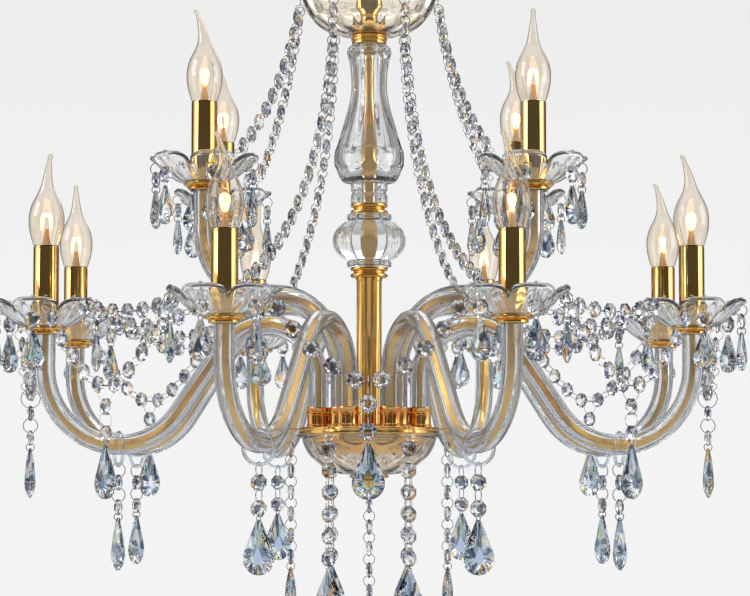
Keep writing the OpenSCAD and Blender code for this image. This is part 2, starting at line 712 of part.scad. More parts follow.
hang_r = 10;
module bead_swags() color("lightsteelblue") at_hub() for (i = [0 : lower_arms - 1]) {
    pinned_swag(i, deep_turn, deep_beads, deep_slope, 0.4)
        plumb_drop(2, swag_link_r, hang_r, swag_tear_w, swag_tear_len, swag_tear_t);
    if (i % 2 == 0) {
        pinned_swag(i, shallow_turns[0], shallow_beads, 15, 1);
        pinned_swag(i, shallow_turns[1], shallow_beads, 30, 1);
    }
}

module pinned_drop(turn) rotate(turn) translate([hook_r, 0, hook_foot]) {
    pin(dish_wall);
    plumb_drop(1, link_r, link_r, small_tear_w, small_tear_len, small_tear_t);
}

module bobeche_drops() color("lightsteelblue") at_hub() {
    for (i = [0 : lower_arms - 1], turn = lower_drop_turns)
        at_lower(i) translate([lower_reach, 0, lower_pan_h]) pinned_drop(turn);
    for (i = [0 : upper_arms - 1], turn = upper_drop_turns)
        at_upper(i) translate([upper_reach, 0, upper_pan_h]) pinned_drop(turn);
}

// The crystal ring hangs on the arm, and its chain hangs in the ring
loop_drop = loop_d / 2 - loop_t - arm_d / 2 - clear;
module ring_drop(i) color("lightsteelblue") at_hub() at_lower(i) translate([sag_x, 0, sag_h - loop_drop]) {
    rotate([0, 90, 0]) rotate_extrude() translate([(loop_d - loop_t) / 2, 0]) circle(loop_t / 2);
    translate([0, 0, loop_t + wire_t / 2 + clear - loop_d / 2])
        plumb_drop(2, ring_link_r, ring_link_r, big_tear_w, ring_tear_len, big_tear_t);
}

module hub_strands() color("lightsteelblue") at_hub() for (i = [0 : lugs - 1])
    rotate(i * 360 / lugs) translate([lug_ring, 0, -plate_t - pin_down]) {
        pin(plate_t);
        plumb_drop(hub_beads, link_r, link_r, big_tear_w, hub_tear_len, big_tear_t);
    }

end_ball_d = 36;
centre_hang = finial_eye_r * 2 - finial_wire / 2 - wire_t / 2 - clear;
module centre_drop() color("lightsteelblue") at_hub(bowl_base - finial_h - centre_hang) {
    plumb_chain(hub_beads, link_r, link_r);
    foot = -plumb_len(hub_beads, link_r, link_r);
    link([0, 0, foot], [0, 0, foot - 2 * small_r], [1, 0, 0]);
    translate([0, 0, foot - 2 * small_r + wire_t / 2 - end_ball_d / 2]) sphere(d = end_ball_d);
}

hanging_loop();
top_cap();
crown_dish();
vase_ring();
vase();
vase_collar();
ball_caps();
glass_ball();
stem_tube();
centre_rod();
hub_plate();
arm_cups();
arm_nuts();
wiring_cover();
terminal_block();
hub_bowl();
bowl_finial();
for (i = [0 : lower_arms - 1]) lower_arm(i);
for (i = [0 : upper_arms - 1]) upper_arm(i);
arm_conduits();
arm_wires();
candle_pans();
bobeches();
candle_sleeves();
lamp_holders();
for (i = [0 : lower_arms - 1]) lower_bulb(i);
for (i = [0 : upper_arms - 1]) upper_bulb(i);
crown_strands();
bead_swags();
bobeche_drops();
for (i = [0 : lower_arms - 1]) ring_drop(i);
hub_strands();
centre_drop();
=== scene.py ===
import math

import bpy
import numpy as np
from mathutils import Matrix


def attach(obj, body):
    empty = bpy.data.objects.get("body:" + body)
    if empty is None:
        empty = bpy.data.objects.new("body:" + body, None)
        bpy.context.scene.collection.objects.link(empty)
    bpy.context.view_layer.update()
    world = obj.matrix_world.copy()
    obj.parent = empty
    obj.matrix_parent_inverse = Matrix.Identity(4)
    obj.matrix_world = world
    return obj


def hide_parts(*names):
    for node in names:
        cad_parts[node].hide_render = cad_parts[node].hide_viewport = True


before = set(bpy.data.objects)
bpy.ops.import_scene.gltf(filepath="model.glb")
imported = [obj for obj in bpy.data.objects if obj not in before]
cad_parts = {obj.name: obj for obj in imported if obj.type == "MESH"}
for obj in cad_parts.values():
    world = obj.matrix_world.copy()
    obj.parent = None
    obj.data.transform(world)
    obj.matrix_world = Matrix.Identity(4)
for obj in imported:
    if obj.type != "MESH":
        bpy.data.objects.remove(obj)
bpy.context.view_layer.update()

bl_info = {
    "name": "Tiered crystal chandelier",
    "version": (1, 0, 0),
    "blender": (4, 5, 0),
    "location": "View3D > Sidebar > Chandelier",
    "description": "Builds the glass, gold and crystal pieces of a two-tier chandelier",
    "category": "Add Mesh",
}

ROOT = "chandelier"
MM = 0.001

# Places and sizes that the solids have too, in millimetres, with heights from the top of the hub plate
HUB_Z = -490.0
LOWER_COUNT = 8
UPPER_COUNT = 4
LOWER_REACH = 342.0
UPPER_REACH = 226.0
LOWER_PAN = 88.5
UPPER_PAN = 227.0
LOWER_FOOT = 56.0
UPPER_FOOT = 41.0
LOWER_SAG_R = 75.0
LOWER_SAG_Z = 56.0
PAN_TOP = 7.0
SLEEVE_LEN = 79.0
BULB_BASE = PAN_TOP + SLEEVE_LEN + 0.3
LOWER_TIPS = (200, 250, 60, 100, 300, 180, 190, 170)
UPPER_TIPS = (180, 150, 190, 270)
ROD_R = 6.1
LIP_UP = 24.0
HOOK_R = 49.5
PIN_DOWN = 3.0
HOOK_FOOT = PAN_TOP + LIP_UP - PIN_DOWN
WALL = 3.0

STRAND_PIN = 7.0
CROWN_HOOK_R = 71.5
CROWN_HOOK_Z = 446.0 - WALL - STRAND_PIN
PLATE_T = 2.5
LUG_RING = 80.0
LUG_TURNS = range(0, 360, 60)
CAP_HEIGHTS = (154.0, 219.5)
BALL_Z = 164.5
COLLAR_Z = 230.0
VASE_Z = 252.0
VASE_H = 143.0
RING_Z = 395.0
CROWN_Z = 405.0
BOWL_Z = -48.0
FINIAL_Z = -56.0
CONDUIT_R = 4.0
CONDUIT_BORE_R = 3.1
CONDUIT_ENDS = (-8.5, 15.0)

# Crystals and links, in millimetres; a drop has its width, length and thickness
BEAD_D = 15.5
HOLE_OFF = 5.15
LINK_R = 5.8
SMALL_R = 4.2
SWAG_LINK_R = 7.5
PENDANT_LINK_R = 7.0
WIRE_R = 0.52
DROP_SMALL = (23.0, 38.0, 9.0)
DROP_SWAG = (30.0, 51.0, 10.0)
DROP_RING = (32.0, 52.0, 11.0)
DROP_HUB = (32.0, 50.0, 11.0)
END_BALL_R = 18.0
RING_R = 16.25
RING_WIRE = 1.75

# Crown strands: the sides where they hang, the turns from there to the hook and to the arm, the tier's reach
# and height, the count of octagons and the slope's bow
CROWN_RUNS = (
    ((0, 180), 6, 45, UPPER_REACH, UPPER_PAN, 10, 17),
    ((90, 270), 30, 22.5, LOWER_REACH, LOWER_PAN, 19, 34),
)

# Swags between lower dishes: a pin's turn from its arm, the count of octagons, the slope's bow and its ease
LONG_SWAG = (74, 10, 58, 0.4)
SHORT_SWAGS = ((106, 7, 15, 1), (134, 7, 30, 1))

# Stage, in metres, radians and watts; a lamp has its name, place, size and power
CAMERA_PLACE = (0.006, -2.7667, (HUB_Z - 55.7) * MM)
CAMERA_TILT = math.radians(90) + 0.0681
CAMERA_LENS = 129.6
CAMERA_SENSOR = 36.0
LAMPS = (
    ("key", (-2.6, -0.9, 0.9), 1.6, 26.0),
    ("fill", (2.6, -0.7, 0.4), 1.6, 16.0),
    ("back", (0.4, 2.6, 1.6), 2.2, 14.0),
)
FLOOR_HALF = 14.0
FLOOR_Z = -1.45


# Forms: points and polygons as whole arrays


class Form:
    """Points as one (n, 3) array, and polygons as a list of index arrays, one for each polygon size."""

    def __init__(self, points, polygons):
        self.points = np.asarray(points, dtype=float)
        self.polygons = [np.asarray(block, dtype=int) for block in polygons]

    def copied(self, turns, shifts):
        """Every copy of the form: point p goes to turn times p plus shift."""
        turns = np.asarray(turns, dtype=float)
        shifts = np.asarray(shifts, dtype=float)
        points = np.einsum("kij,nj->kni", turns, self.points) + shifts[:, None, :]
        step = len(self.points)
        starts = np.arange(len(shifts)) * step
        blocks = [
            (block[None, :, :] + starts[:, None, None]).reshape(-1, block.shape[1])
            for block in self.polygons
        ]
        return Form(points.reshape(-1, 3), blocks)

    def turned(self, turn, shift=(0, 0, 0)):
        return self.copied([turn], [shift])

    def raised(self, height):
        return Form(self.points + [0, 0, height], self.polygons)


def joined(forms):
    """Several forms as one."""
    points = np.concatenate([form.points for form in forms])
    starts = np.cumsum([0] + [len(form.points) for form in forms[:-1]])
    blocks = [block + start for form, start in zip(forms, starts) for block in form.polygons]
    return Form(points, blocks)


def about_z(degrees):
    """Rotation about Z."""
    a = math.radians(degrees)
    return np.array([[math.cos(a), -math.sin(a), 0], [math.sin(a), math.cos(a), 0], [0, 0, 1.0]])


def polar(reach, degrees, z):
    a = math.radians(degrees)
    return np.array([reach * math.cos(a), reach * math.sin(a), z])


def unit(v):
    return v / np.linalg.norm(v)


def arm_turn(index, count):
    return 180.0 / count + index * 360.0 / count


def tier_places(lower, upper):
    """(azimuth, reach, height) at the twelve arms, lower tier first, from each tier's reach and height."""
    tiers = ((LOWER_COUNT, lower), (UPPER_COUNT, upper))
    return [(arm_turn(i, count), *place) for count, place in tiers for i in range(count)]


CANDLES = tier_places((LOWER_REACH, LOWER_PAN), (UPPER_REACH, UPPER_PAN))
FEET = tier_places((LOWER_FOOT, 0), (UPPER_FOOT, 0))


def at_places(form, places):
    """A copy of a form at each place, turned to its arm."""
    turns = [about_z(turn) for turn, _, _ in places]
    return form.copied(turns, [polar(reach, turn, z) for turn, reach, z in places])


def grid_quads(rows, cols, wrap_rows):
    """Quads over a grid that closes round its columns, and round its rows where wrap_rows is set."""
    r = np.arange(rows if wrap_rows else rows - 1)[:, None]
    c = np.arange(cols)[None, :]
    low = r * cols
    high = (r + 1) % rows * cols
    nxt = (c + 1) % cols
    corners = [low + c, low + nxt, high + nxt, high + c]
    return np.stack([corner + np.zeros_like(low + c) for corner in corners], axis=-1).reshape(-1, 4)


def end_faces(rows, sides):
    """The two faces that close a tube of rows by sides points."""
    ring = np.arange(sides)
    return [ring[None, ::-1], ((rows - 1) * sides + ring)[None, :]]


def round_angles(sides):
    return np.arange(sides) * 2 * np.pi / sides


def revolve(profile, sides, swell=None, closed=False):
    """Turned surface: at angle a and profile row t the point is (radius t + swell) out along a, at height t.
    A closed profile is a wall; an open one is capped at both ends. swell is an array, rows by sides."""
    profile = np.asarray(profile, dtype=float)
    reach = profile[:, :1] + (0 if swell is None else swell)
    a = round_angles(sides)[None, :]
    z = profile[:, 1:2] + np.zeros_like(reach * a)
    points = np.stack([reach * np.cos(a), reach * np.sin(a), z], axis=-1).reshape(-1, 3)
    blocks = [grid_quads(len(profile), sides, closed)]
    if not closed:
        blocks += end_faces(len(profile), sides)
    return Form(points, blocks)


def spline(knots, per_span):
    """Catmull-Rom curve through the knots, per_span steps between two of them."""
    knots = np.asarray(knots, dtype=float)
    ends = np.vstack([2 * knots[0] - knots[1], knots, 2 * knots[-1] - knots[-2]])
    t = (np.arange(per_span) / per_span)[None, :, None]
    a, b, c, d = (ends[i:len(ends) - 3 + i][:, None, :] for i in range(4))
    curve = 0.5 * (2 * b + (c - a) * t + (2 * a - 5 * b + 4 * c - d) * t**2 + (3 * b - a - 3 * c + d) * t**3)
    return np.vstack([curve.reshape(-1, knots.shape[1]), knots[-1:]])


def arc(x, z, radius, start, end, steps):
    """Points on an arc round (x, z), from angle start to end in degrees."""
    a = np.radians(np.linspace(start, end, steps + 1))
    return np.stack([x + radius * np.cos(a), z + radius * np.sin(a)], axis=-1)


def rounded(corners, steps=5):
    """Outline through corners given as (x, z, fillet): each corner with a fillet becomes an arc that touches
    both of its edges, and a corner with fillet 0 stays sharp."""
    corners = np.asarray(corners, dtype=float)
    places = corners[:, :2]
    before = np.roll(places, 1, axis=0) - places
    after = np.roll(places, -1, axis=0) - places
    before /= np.linalg.norm(before, axis=1, keepdims=True)
    after /= np.linalg.norm(after, axis=1, keepdims=True)
    t = np.linspace(0, 1, steps + 1)[:, None]
    rows = []
    for place, ahead, behind, fillet in zip(places, after, before, corners[:, 2]):
        if fillet == 0:
            rows.append(place[None, :])
            continue
        half = math.acos(float(np.clip(ahead @ behind, -1, 1))) / 2
        centre = place + unit(ahead + behind) * fillet / math.sin(half)
        start = place + behind * fillet / math.tan(half) - centre
        stop = place + ahead * fillet / math.tan(half) - centre
        sweep = math.pi - 2 * half
        arms = np.sin((1 - t) * sweep) * start + np.sin(t * sweep) * stop
        rows.append(centre + arms / math.sin(sweep))
    return np.vstack(rows)


def tube(path, radius, sides, flutes=0, depth=0.0):
    """Tube along a path in the XZ plane: the section is a circle, less depth times one minus the size of
    cos(flutes a / 2), so that round ribs meet in narrow valleys."""
    path = np.asarray(path, dtype=float)
    steps = np.gradient(path, axis=0)
    steps /= np.linalg.norm(steps, axis=1, keepdims=True)
    a = round_angles(sides)[None, :]
    reach = radius - (depth * (1 - np.abs(np.cos(flutes * a / 2))) if flutes else 0)
    across = reach * np.cos(a)
    x = path[:, :1] + across * steps[:, 1:2]
    z = path[:, 1:2] - across * steps[:, :1]
    points = np.stack([x, reach * np.sin(a) + np.zeros_like(x), z], axis=-1).reshape(-1, 3)
    return Form(points, [grid_quads(len(path), sides, False)])


def pipe(path, outer, inner, sides, flutes=0, depth=0.0):
    """Fluted tube with a plain bore: the outer and inner surfaces meet in flat ends."""
    skin = tube(path, outer, sides, flutes, depth)
    bore = tube(path, inner, sides)
    n = len(skin.points)
    ring = np.arange(sides)
    nxt = (ring + 1) % sides
    last = n - sides
    foot = np.stack([ring + n, nxt + n, nxt, ring], axis=-1)
    head = np.stack([last + ring, last + nxt, last + nxt + n, last + ring + n], axis=-1)
    return Form(
        np.vstack([skin.points, bore.points]),
        [skin.polygons[0], bore.polygons[0][:, ::-1] + n, foot, head],
    )


def lower_path(foot, head):
    """Centre line of a lower arm in its own plane, with the solids' bends."""
    crest = (LOWER_FOOT + 56.0, 49.0, 56.0)
    sag = (LOWER_REACH - LOWER_SAG_R, LOWER_SAG_Z, LOWER_SAG_R)
    span = math.hypot(sag[0] - crest[0], sag[1] - crest[1])
    slope = math.degrees(
        math.atan2(sag[1] - crest[1], sag[0] - crest[0]) + math.acos((crest[2] + sag[2]) / span)
    )
    return np.vstack([
        [[LOWER_FOOT, foot], [LOWER_FOOT, 25.0]],
        arc(*crest, 180, slope, 26),
        arc(*sag, 180 + slope, 360, 28),
        [[LOWER_REACH, LOWER_PAN + head]],
    ])


def upper_path(foot, head):
    """Centre line of an upper arm in its own plane."""
    return np.vstack([
        [[UPPER_FOOT, foot], [UPPER_FOOT, 25.0]],
        arc(UPPER_FOOT + 80, 50, 80, 180, 90, 20),
        arc(UPPER_REACH - 60, 190, 60, 270, 360, 20),
        [[UPPER_REACH, UPPER_PAN + head]],
    ])


# Cut crystals and their chains


def cut_stone(outline, centre, half, girdle, table=0.42, middle=0.74):
    """Cut stone in the XY plane, the same on both faces. The outline is the girdle's corners. A table lies
    at share table of the way out and height half. A ring of points at share middle, over the outline's edge
    middles, splits the slope into star, kite and girdle facets."""
    outline = np.asarray(outline, dtype=float)
    n = len(outline)
    edges = (outline + np.roll(outline, -1, axis=0)) / 2
    flat = [outline, centre + middle * (edges - centre), centre + table * (outline - centre)]
    heights = (girdle, girdle + (half - girdle) * 0.62, half)
    rings = [np.column_stack([xy, np.full(n, z)]) for xy, z in zip(flat, heights)]
    top = np.vstack(rings)
    low = top * [1, 1, -1]
    k = np.arange(n)
    nxt = (k + 1) % n
    prev = (k - 1) % n
    stars = np.stack([2 * n + k, n + k, 2 * n + nxt], axis=-1)
    kites = np.stack([k, n + k, 2 * n + k, n + prev], axis=-1)
    slopes = np.stack([k, nxt, n + k], axis=-1)
    band = np.stack([3 * n + k, 3 * n + nxt, nxt, k], axis=-1)
    face = (2 * n + k)[None, :]
    blocks = [stars, kites, slopes, face]
    under = [block[:, ::-1] + 3 * n for block in blocks]
    return Form(np.vstack([top, low]), blocks + under + [band])


def octagon():
    """Octagon crystal, its chain along X and its faces along Z."""
    a = np.radians(22.5 + 45 * np.arange(8))
    r = BEAD_D / 2 / math.cos(math.radians(22.5))
    return cut_stone(np.stack([r * np.cos(a), r * np.sin(a)], axis=-1), np.zeros(2), 3.4, 0.9)


def almond(width, length, thick):
    """Teardrop crystal with its hole at the origin, hanging along -Z, faces along X: a round belly
    whose tangents run up to a blunt tip."""
    above = 3.6
    tip_half = 1.8
    tip_z = 3.2
    r = width / 2
    drop = length - above - r
    lean = math.asin(r / (drop + above))
    a = np.linspace(lean, -math.pi - lean, 13)
    belly = np.stack([r * np.cos(a), -drop + r * np.sin(a)], axis=-1)
    tip = np.array([[-tip_half, tip_z], [tip_half, tip_z]])
    shoulder_z = 0.5 * (tip_z - drop + r * math.sin(lean))
    shoulder = np.array([[0.5 * (r * math.cos(lean) + tip_half), shoulder_z]])
    outline = np.vstack([tip, shoulder, belly, shoulder * [-1, 1]])[::-1]
    stone = cut_stone(outline, np.array([0, -drop]), thick / 2, 1.0, 0.36, 0.7)
    return stone.turned(np.array([[0, 0, 1.0], [1, 0, 0], [0, 1, 0]]))


def rings(centres, xs, ys, radii, wire, sides=12, section=4):
    """Wire rings: ring k has its centre, two axes in its plane, and a radius."""
    centres, xs, ys = (np.asarray(v, dtype=float)[:, None, None, :] for v in (centres, xs, ys))
    radii = np.asarray(radii, dtype=float)[:, None, None, None]
    normal = np.cross(xs, ys)
    a = round_angles(sides)[None, :, None, None]
    b = (round_angles(section) + np.pi / 4)[None, None, :, None]
    spoke = np.cos(a) * xs + np.sin(a) * ys
    points = centres + (radii + wire * np.cos(b)) * spoke + wire * np.sin(b) * normal
    count = len(points)
    quads = np.roll(grid_quads(sides, section, True)[:, ::-1], 1, axis=1)
    starts = (np.arange(count) * sides * section)[:, None, None]
    return Form(points.reshape(-1, 3), [(quads[None] + starts).reshape(-1, 4)])


class Trimming:
    """The beads, drops, links and pins of one group of strands, gathered as frames and then built."""

    def __init__(self):
        self.bead_turns = []
        self.bead_spots = []
        self.drops = {}
        self.links = []
        self.pins = []

    def bead(self, spot, along, face):
        self.bead_turns.append(np.column_stack([along, np.cross(face, along), face]))
        self.bead_spots.append(spot)

    def drop(self, spot, azimuth, size):
        self.drops.setdefault(size, []).append((azimuth, spot))

    def link(self, p, q, face):
        self.links.append([np.asarray(v, dtype=float) for v in (p, q, face)])

    def pin(self, foot, wall, down=PIN_DOWN, way=1):
        """A headed pin from its foot through a wall: its head is above the foot, or below it with way -1."""
        self.pins.append((foot, wall, down, way))

    def plumb(self, hook, azimuth, count, radius, first, drop=None):
        """A straight chain down from a hook, with a teardrop at its end where one is given."""
        face = polar(1, azimuth, 0)
        down = np.array([0, 0, -1.0])
        at = np.asarray(hook, dtype=float)
        for i in range(count):
            step = 2 * (first if i == 0 else radius)
            self.link(at, at + step * down, face)
            self.bead(at + (step + HOLE_OFF) * down, down, face)
            at = at + (step + 2 * HOLE_OFF) * down
        if drop:
            self.link(at, at + 2 * SMALL_R * down, face)
            self.drop(at + 2 * SMALL_R * down, azimuth, drop)
        return at

    def swag(self, a, b, count, bow, ease):
        """A hanging chain from a to b, whose slope runs from chord - bow to chord + bow. Returns the place,
        the azimuth and the radius of its middle link."""
        flat = np.array([b[0] - a[0], b[1] - a[1], 0])
        along = unit(flat)
        face = np.cross(along, [0, 0, 1.0])
        chord = math.atan2(b[2] - a[2], np.linalg.norm(flat))
        s = 2 * np.arange(count + 1) / count - 1
        turns = np.radians(bow) * np.sign(s) * np.abs(s) ** ease
        gain = np.cos(turns).sum()
        ends = 2 * math.cos(turns[0])
        radius = (np.linalg.norm(b - a) + HOLE_OFF * ends - 2 * HOLE_OFF * gain) / (2 * gain)
        ways = np.cos(chord + turns)[:, None] * along + np.sin(chord + turns)[:, None] * [0, 0, 1.0]
        reach = 2 * radius + np.where(np.abs(s) == 1, 1, 2) * HOLE_OFF
        mids = a + np.cumsum(ways * reach[:, None], axis=0)[:-1]
        lies = ways[:-1] + ways[1:]
        lies /= np.linalg.norm(lies, axis=1, keepdims=True)
        for mid, lie in zip(mids, lies):
            self.bead(mid, lie, face)
        starts = np.vstack([[a], mids + lies * HOLE_OFF])
        stops = np.vstack([mids - lies * HOLE_OFF, [b]])
        for p, q in zip(starts, stops):
            self.link(p, q, face)
        half = count // 2
        return (mids[half - 1] + mids[half]) / 2, math.degrees(math.atan2(face[1], face[0])), radius

    def octagons(self):
        return octagon().copied(self.bead_turns, self.bead_spots)

    def teardrops(self):
        return joined([
            almond(*size).copied([about_z(turn) for turn, _ in rows], [spot for _, spot in rows])
            for size, rows in self.drops.items()
        ])

    def wires(self):
        p, q, face = (np.array(v) for v in zip(*self.links))
        along = (q - p) / np.linalg.norm(q - p, axis=1, keepdims=True)
        across = np.cross(np.cross(along, face), along)
        forms = [rings((p + q) / 2, along, across, np.linalg.norm(q - p, axis=1) / 2, WIRE_R)]
        for foot, wall, down, way in self.pins:
            top = down + wall + 0.2
            head = [(1.5, top), (2.0, top + 0.3), (1.6, top + 0.8), (0.6, top + 1.0)]
            profile = [(0.4, 0), (0.4, top), *head]
            forms.append(revolve(profile, 8).turned(np.diag([1.0, way, way]), foot))
        return joined(forms)


# Meshes and pieces


def make_piece(name, form, finish, replaces=(), body=ROOT, crease=35.0, painted_fire=False):
    """Turns a form in millimetres above the hub into a piece in metres that rides on a body.
    crease is the angle past which an edge stays sharp; 0 leaves every facet flat."""
    points = (form.points + [0, 0, HUB_Z]) * MM
    sizes = np.concatenate([np.full(len(block), block.shape[1]) for block in form.polygons])
    corners = np.concatenate([block.ravel() for block in form.polygons])
    mesh = bpy.data.meshes.new(name)
    mesh.vertices.add(len(points))
    mesh.vertices.foreach_set("co", points.ravel().astype(np.float32))
    mesh.loops.add(len(corners))
    mesh.loops.foreach_set("vertex_index", corners.astype(np.int32))
    mesh.polygons.add(len(sizes))
    mesh.polygons.foreach_set("loop_start", (np.cumsum(sizes) - sizes).astype(np.int32))
    mesh.polygons.foreach_set("use_smooth", np.full(len(sizes), crease > 0))
    mesh.update(calc_edges=True)
    mesh.validate()
    if crease > 0:
        mesh.set_sharp_from_angle(angle=math.radians(crease))
    # Each face gets a random share, which picks one of the painted fire and reflection colours of a crystal
    # finish.
    if painted_fire:
        tints = np.random.default_rng(len(points)).random(len(sizes))
        fire = mesh.attributes.new("facet", "FLOAT", "FACE")
        fire.data.foreach_set("value", tints.astype(np.float32))
    mesh.materials.append(FINISHES[finish])
    piece = bpy.data.objects.new(name, mesh)
    bpy.context.scene.collection.objects.link(piece)
    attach(piece, body)
    if replaces:
        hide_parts(*replaces)
    return piece


def dress(node, finish):
    """Gives a node's object a new material."""
    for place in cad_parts[node].material_slots:
        place.material = FINISHES[finish]


# Shader groups and finishes


def new_group(name, inputs, outputs):
    """A shader group with named sockets, and its two end nodes."""
    group = bpy.data.node_groups.new(name, "ShaderNodeTree")
    for label, kind, value in inputs:
        socket = group.interface.new_socket(label, in_out="INPUT", socket_type=kind)
        socket.default_value = value
    for label, kind in outputs:
        group.interface.new_socket(label, in_out="OUTPUT", socket_type=kind)
    return group, group.nodes.new("NodeGroupInput"), group.nodes.new("NodeGroupOutput")


def add_node(tree, kind, links=(), **values):
    """A node with its properties set, its inputs set where the key starts with in_, and its links made.
    links pairs the name or number of an input with the output that feeds it."""
    node = tree.nodes.new(kind)
    for key, value in values.items():
        if key.startswith("in_"):
            node.inputs[key[3:].replace("_", " ")].default_value = value
        else:
            setattr(node, key, value)
    for place, output in dict(links).items():
        tree.links.new(output, node.inputs[place])
    return node


def add_maths(tree, operation, first, second=0.0, clamp=False):
    """A maths node's output. Each of its terms is an output or a number."""
    node = add_node(tree, "ShaderNodeMath", operation=operation, use_clamp=clamp)
    for place, term in enumerate((first, second)):
        if isinstance(term, float):
            node.inputs[place].default_value = term
        else:
            tree.links.new(term, node.inputs[place])
    return node.outputs[0]


def add_noise(tree, scale=None, **values):
    """Noise over the object's own coordinates, its scale fed by an output where one is given."""
    coords = add_node(tree, "ShaderNodeTexCoord")
    links = {"Vector": coords.outputs["Object"]}
    if scale:
        links["Scale"] = scale
    return add_node(tree, "ShaderNodeTexNoise", links, **values).outputs["Fac"]


def polish_group():
    """Fine polishing marks and handling smudges: a roughness, and a height for a bump."""
    group, entry, end = new_group(
        "polish_marks",
        [
            ("Scale", "NodeSocketFloat", 60.0),
            ("Roughness", "NodeSocketFloat", 0.15),
            ("Spread", "NodeSocketFloat", 0.08),
        ],
        [("Roughness", "NodeSocketFloat"), ("Height", "NodeSocketFloat")],
    )
    smudge = add_noise(group, entry.outputs["Scale"], in_Detail=4.0, in_Roughness=0.6)
    fine = add_noise(group, in_Scale=1400.0, in_Detail=2.0)
    centred = add_maths(group, "SUBTRACT", smudge, 0.5)
    spread = add_maths(group, "MULTIPLY", centred, entry.outputs["Spread"])
    total = add_maths(group, "ADD", spread, entry.outputs["Roughness"], clamp=True)
    group.links.new(total, end.inputs["Roughness"])
    group.links.new(fine, end.inputs["Height"])
    return group


def patina_group():
    """Two close tones of one colour, mixed by soft clouds."""
    group, entry, end = new_group(
        "patina",
        [
            ("Colour", "NodeSocketColor", (0.8, 0.6, 0.3, 1)),
            ("Deep", "NodeSocketColor", (0.7, 0.45, 0.15, 1)),
            ("Scale", "NodeSocketFloat", 25.0),
        ],
        [("Colour", "NodeSocketColor")],
    )
    cloud = add_noise(group, entry.outputs["Scale"], in_Detail=5.0)
    ramp = add_node(group, "ShaderNodeMapRange", {"Value": cloud}, in_From_Min=0.4, in_From_Max=0.75)
    tones = {"Factor": ramp.outputs["Result"], "A": entry.outputs["Colour"], "B": entry.outputs["Deep"]}
    mix = add_node(group, "ShaderNodeMix", tones, data_type="RGBA")
    group.links.new(mix.outputs["Result"], end.inputs["Colour"])
    return group


def ripple_group():
    """Slow waves of hand-drawn glass, as a height."""
    group, entry, end = new_group(
        "glass_ripple", [("Scale", "NodeSocketFloat", 40.0)], [("Height", "NodeSocketFloat")]
    )
    waves = add_noise(group, entry.outputs["Scale"], in_Detail=1.5)
    group.links.new(waves, end.inputs["Height"])
    return group


def new_material(name):
    material = bpy.data.materials.new(name)
    material.use_nodes = True
    tree = material.node_tree
    return material, tree, tree.nodes["Principled BSDF"]


def bump_from(tree, shader, height, strength, distance):
    bump = add_node(tree, "ShaderNodeBump", {"Height": height}, in_Strength=strength, in_Distance=distance)
    tree.links.new(bump.outputs["Normal"], shader.inputs["Normal"])


def two_tones(tree, groups, shader, colour, deep):
    """The patina group's colour on a shader."""
    tone = add_node(
        tree, "ShaderNodeGroup", node_tree=groups["patina"], in_Colour=(*colour, 1), in_Deep=(*deep, 1)
    )
    tree.links.new(tone.outputs["Colour"], shader.inputs["Base Color"])


def polished(name, groups, colour, deep, roughness, spread, metallic=1.0, bump=0.05):
    """Polished metal, or with metallic at 0 a moulded surface."""
    material, tree, shader = new_material(name)
    shader.inputs["Metallic"].default_value = metallic
    marks = add_node(
        tree, "ShaderNodeGroup", node_tree=groups["polish"], in_Roughness=roughness, in_Spread=spread
    )
    two_tones(tree, groups, shader, colour, deep)
    tree.links.new(marks.outputs["Roughness"], shader.inputs["Roughness"])
    bump_from(tree, shader, marks.outputs["Height"], bump, 0.0002)
    return material


def glassy(name, ior, roughness, haze=0.0):
    """A material that passes light, apart from its milky share."""
    material, tree, shader = new_material(name)
    shader.inputs["Transmission Weight"].default_value = 1.0 - haze
    shader.inputs["IOR"].default_value = ior
    shader.inputs["Roughness"].default_value = roughness
    return material, tree, shader


def clear_glass(name, groups, colour, deep, ior, roughness, ripple, scale, haze):
    """Clear glass whose tint drifts a little and whose surface has slow waves. haze is its milky share."""
    material, tree, shader = glassy(name, ior, roughness, haze)
    two_tones(tree, groups, shader, colour, deep)
    waves = add_node(tree, "ShaderNodeGroup", node_tree=groups["ripple"], in_Scale=scale)
    bump_from(tree, shader, waves.outputs["Height"], ripple, 0.001)
    return material


def cut_crystal(name, stops, ior):
    """Crystal whose facets each carry one of a few pale, blue, near-black or amber colours, as split and
    reflected light gives them: painted fire, painted dark reflections and painted gold glints.
    """
    material, tree, shader = glassy(name, ior, 0.0)
    facet = add_node(tree, "ShaderNodeAttribute", attribute_name="facet")
    ramp = add_node(tree, "ShaderNodeValToRGB", {"Fac": facet.outputs["Fac"]})
    ramp.color_ramp.interpolation = "CONSTANT"
    while len(ramp.color_ramp.elements) < len(stops):
        ramp.color_ramp.elements.new(0.5)
    for element, (place, colour) in zip(ramp.color_ramp.elements, stops):
        element.position = place
        element.color = (*colour, 1)
    tree.links.new(ramp.outputs["Color"], shader.inputs["Base Color"])
    return material


def glowing(name, colour, strength):
    """Hot filament: its glow colour drifts in small patches between the given colour and a paler yellow."""
    material, tree, shader = new_material(name)
    shader.inputs["Base Color"].default_value = (*colour, 1)
    shader.inputs["Roughness"].default_value = 0.5
    shader.inputs["Emission Strength"].default_value = strength
    heat = add_noise(tree, in_Scale=300.0)
    mix = add_node(tree, "ShaderNodeMix", {"Factor": heat}, data_type="RGBA")
    mix.inputs["A"].default_value = (*colour, 1)
    mix.inputs["B"].default_value = (1.0, 0.78, 0.4, 1)
    tree.links.new(mix.outputs["Result"], shader.inputs["Emission Color"])
    return material


# Materials by finish, filled by build_finishes
FINISHES = {}

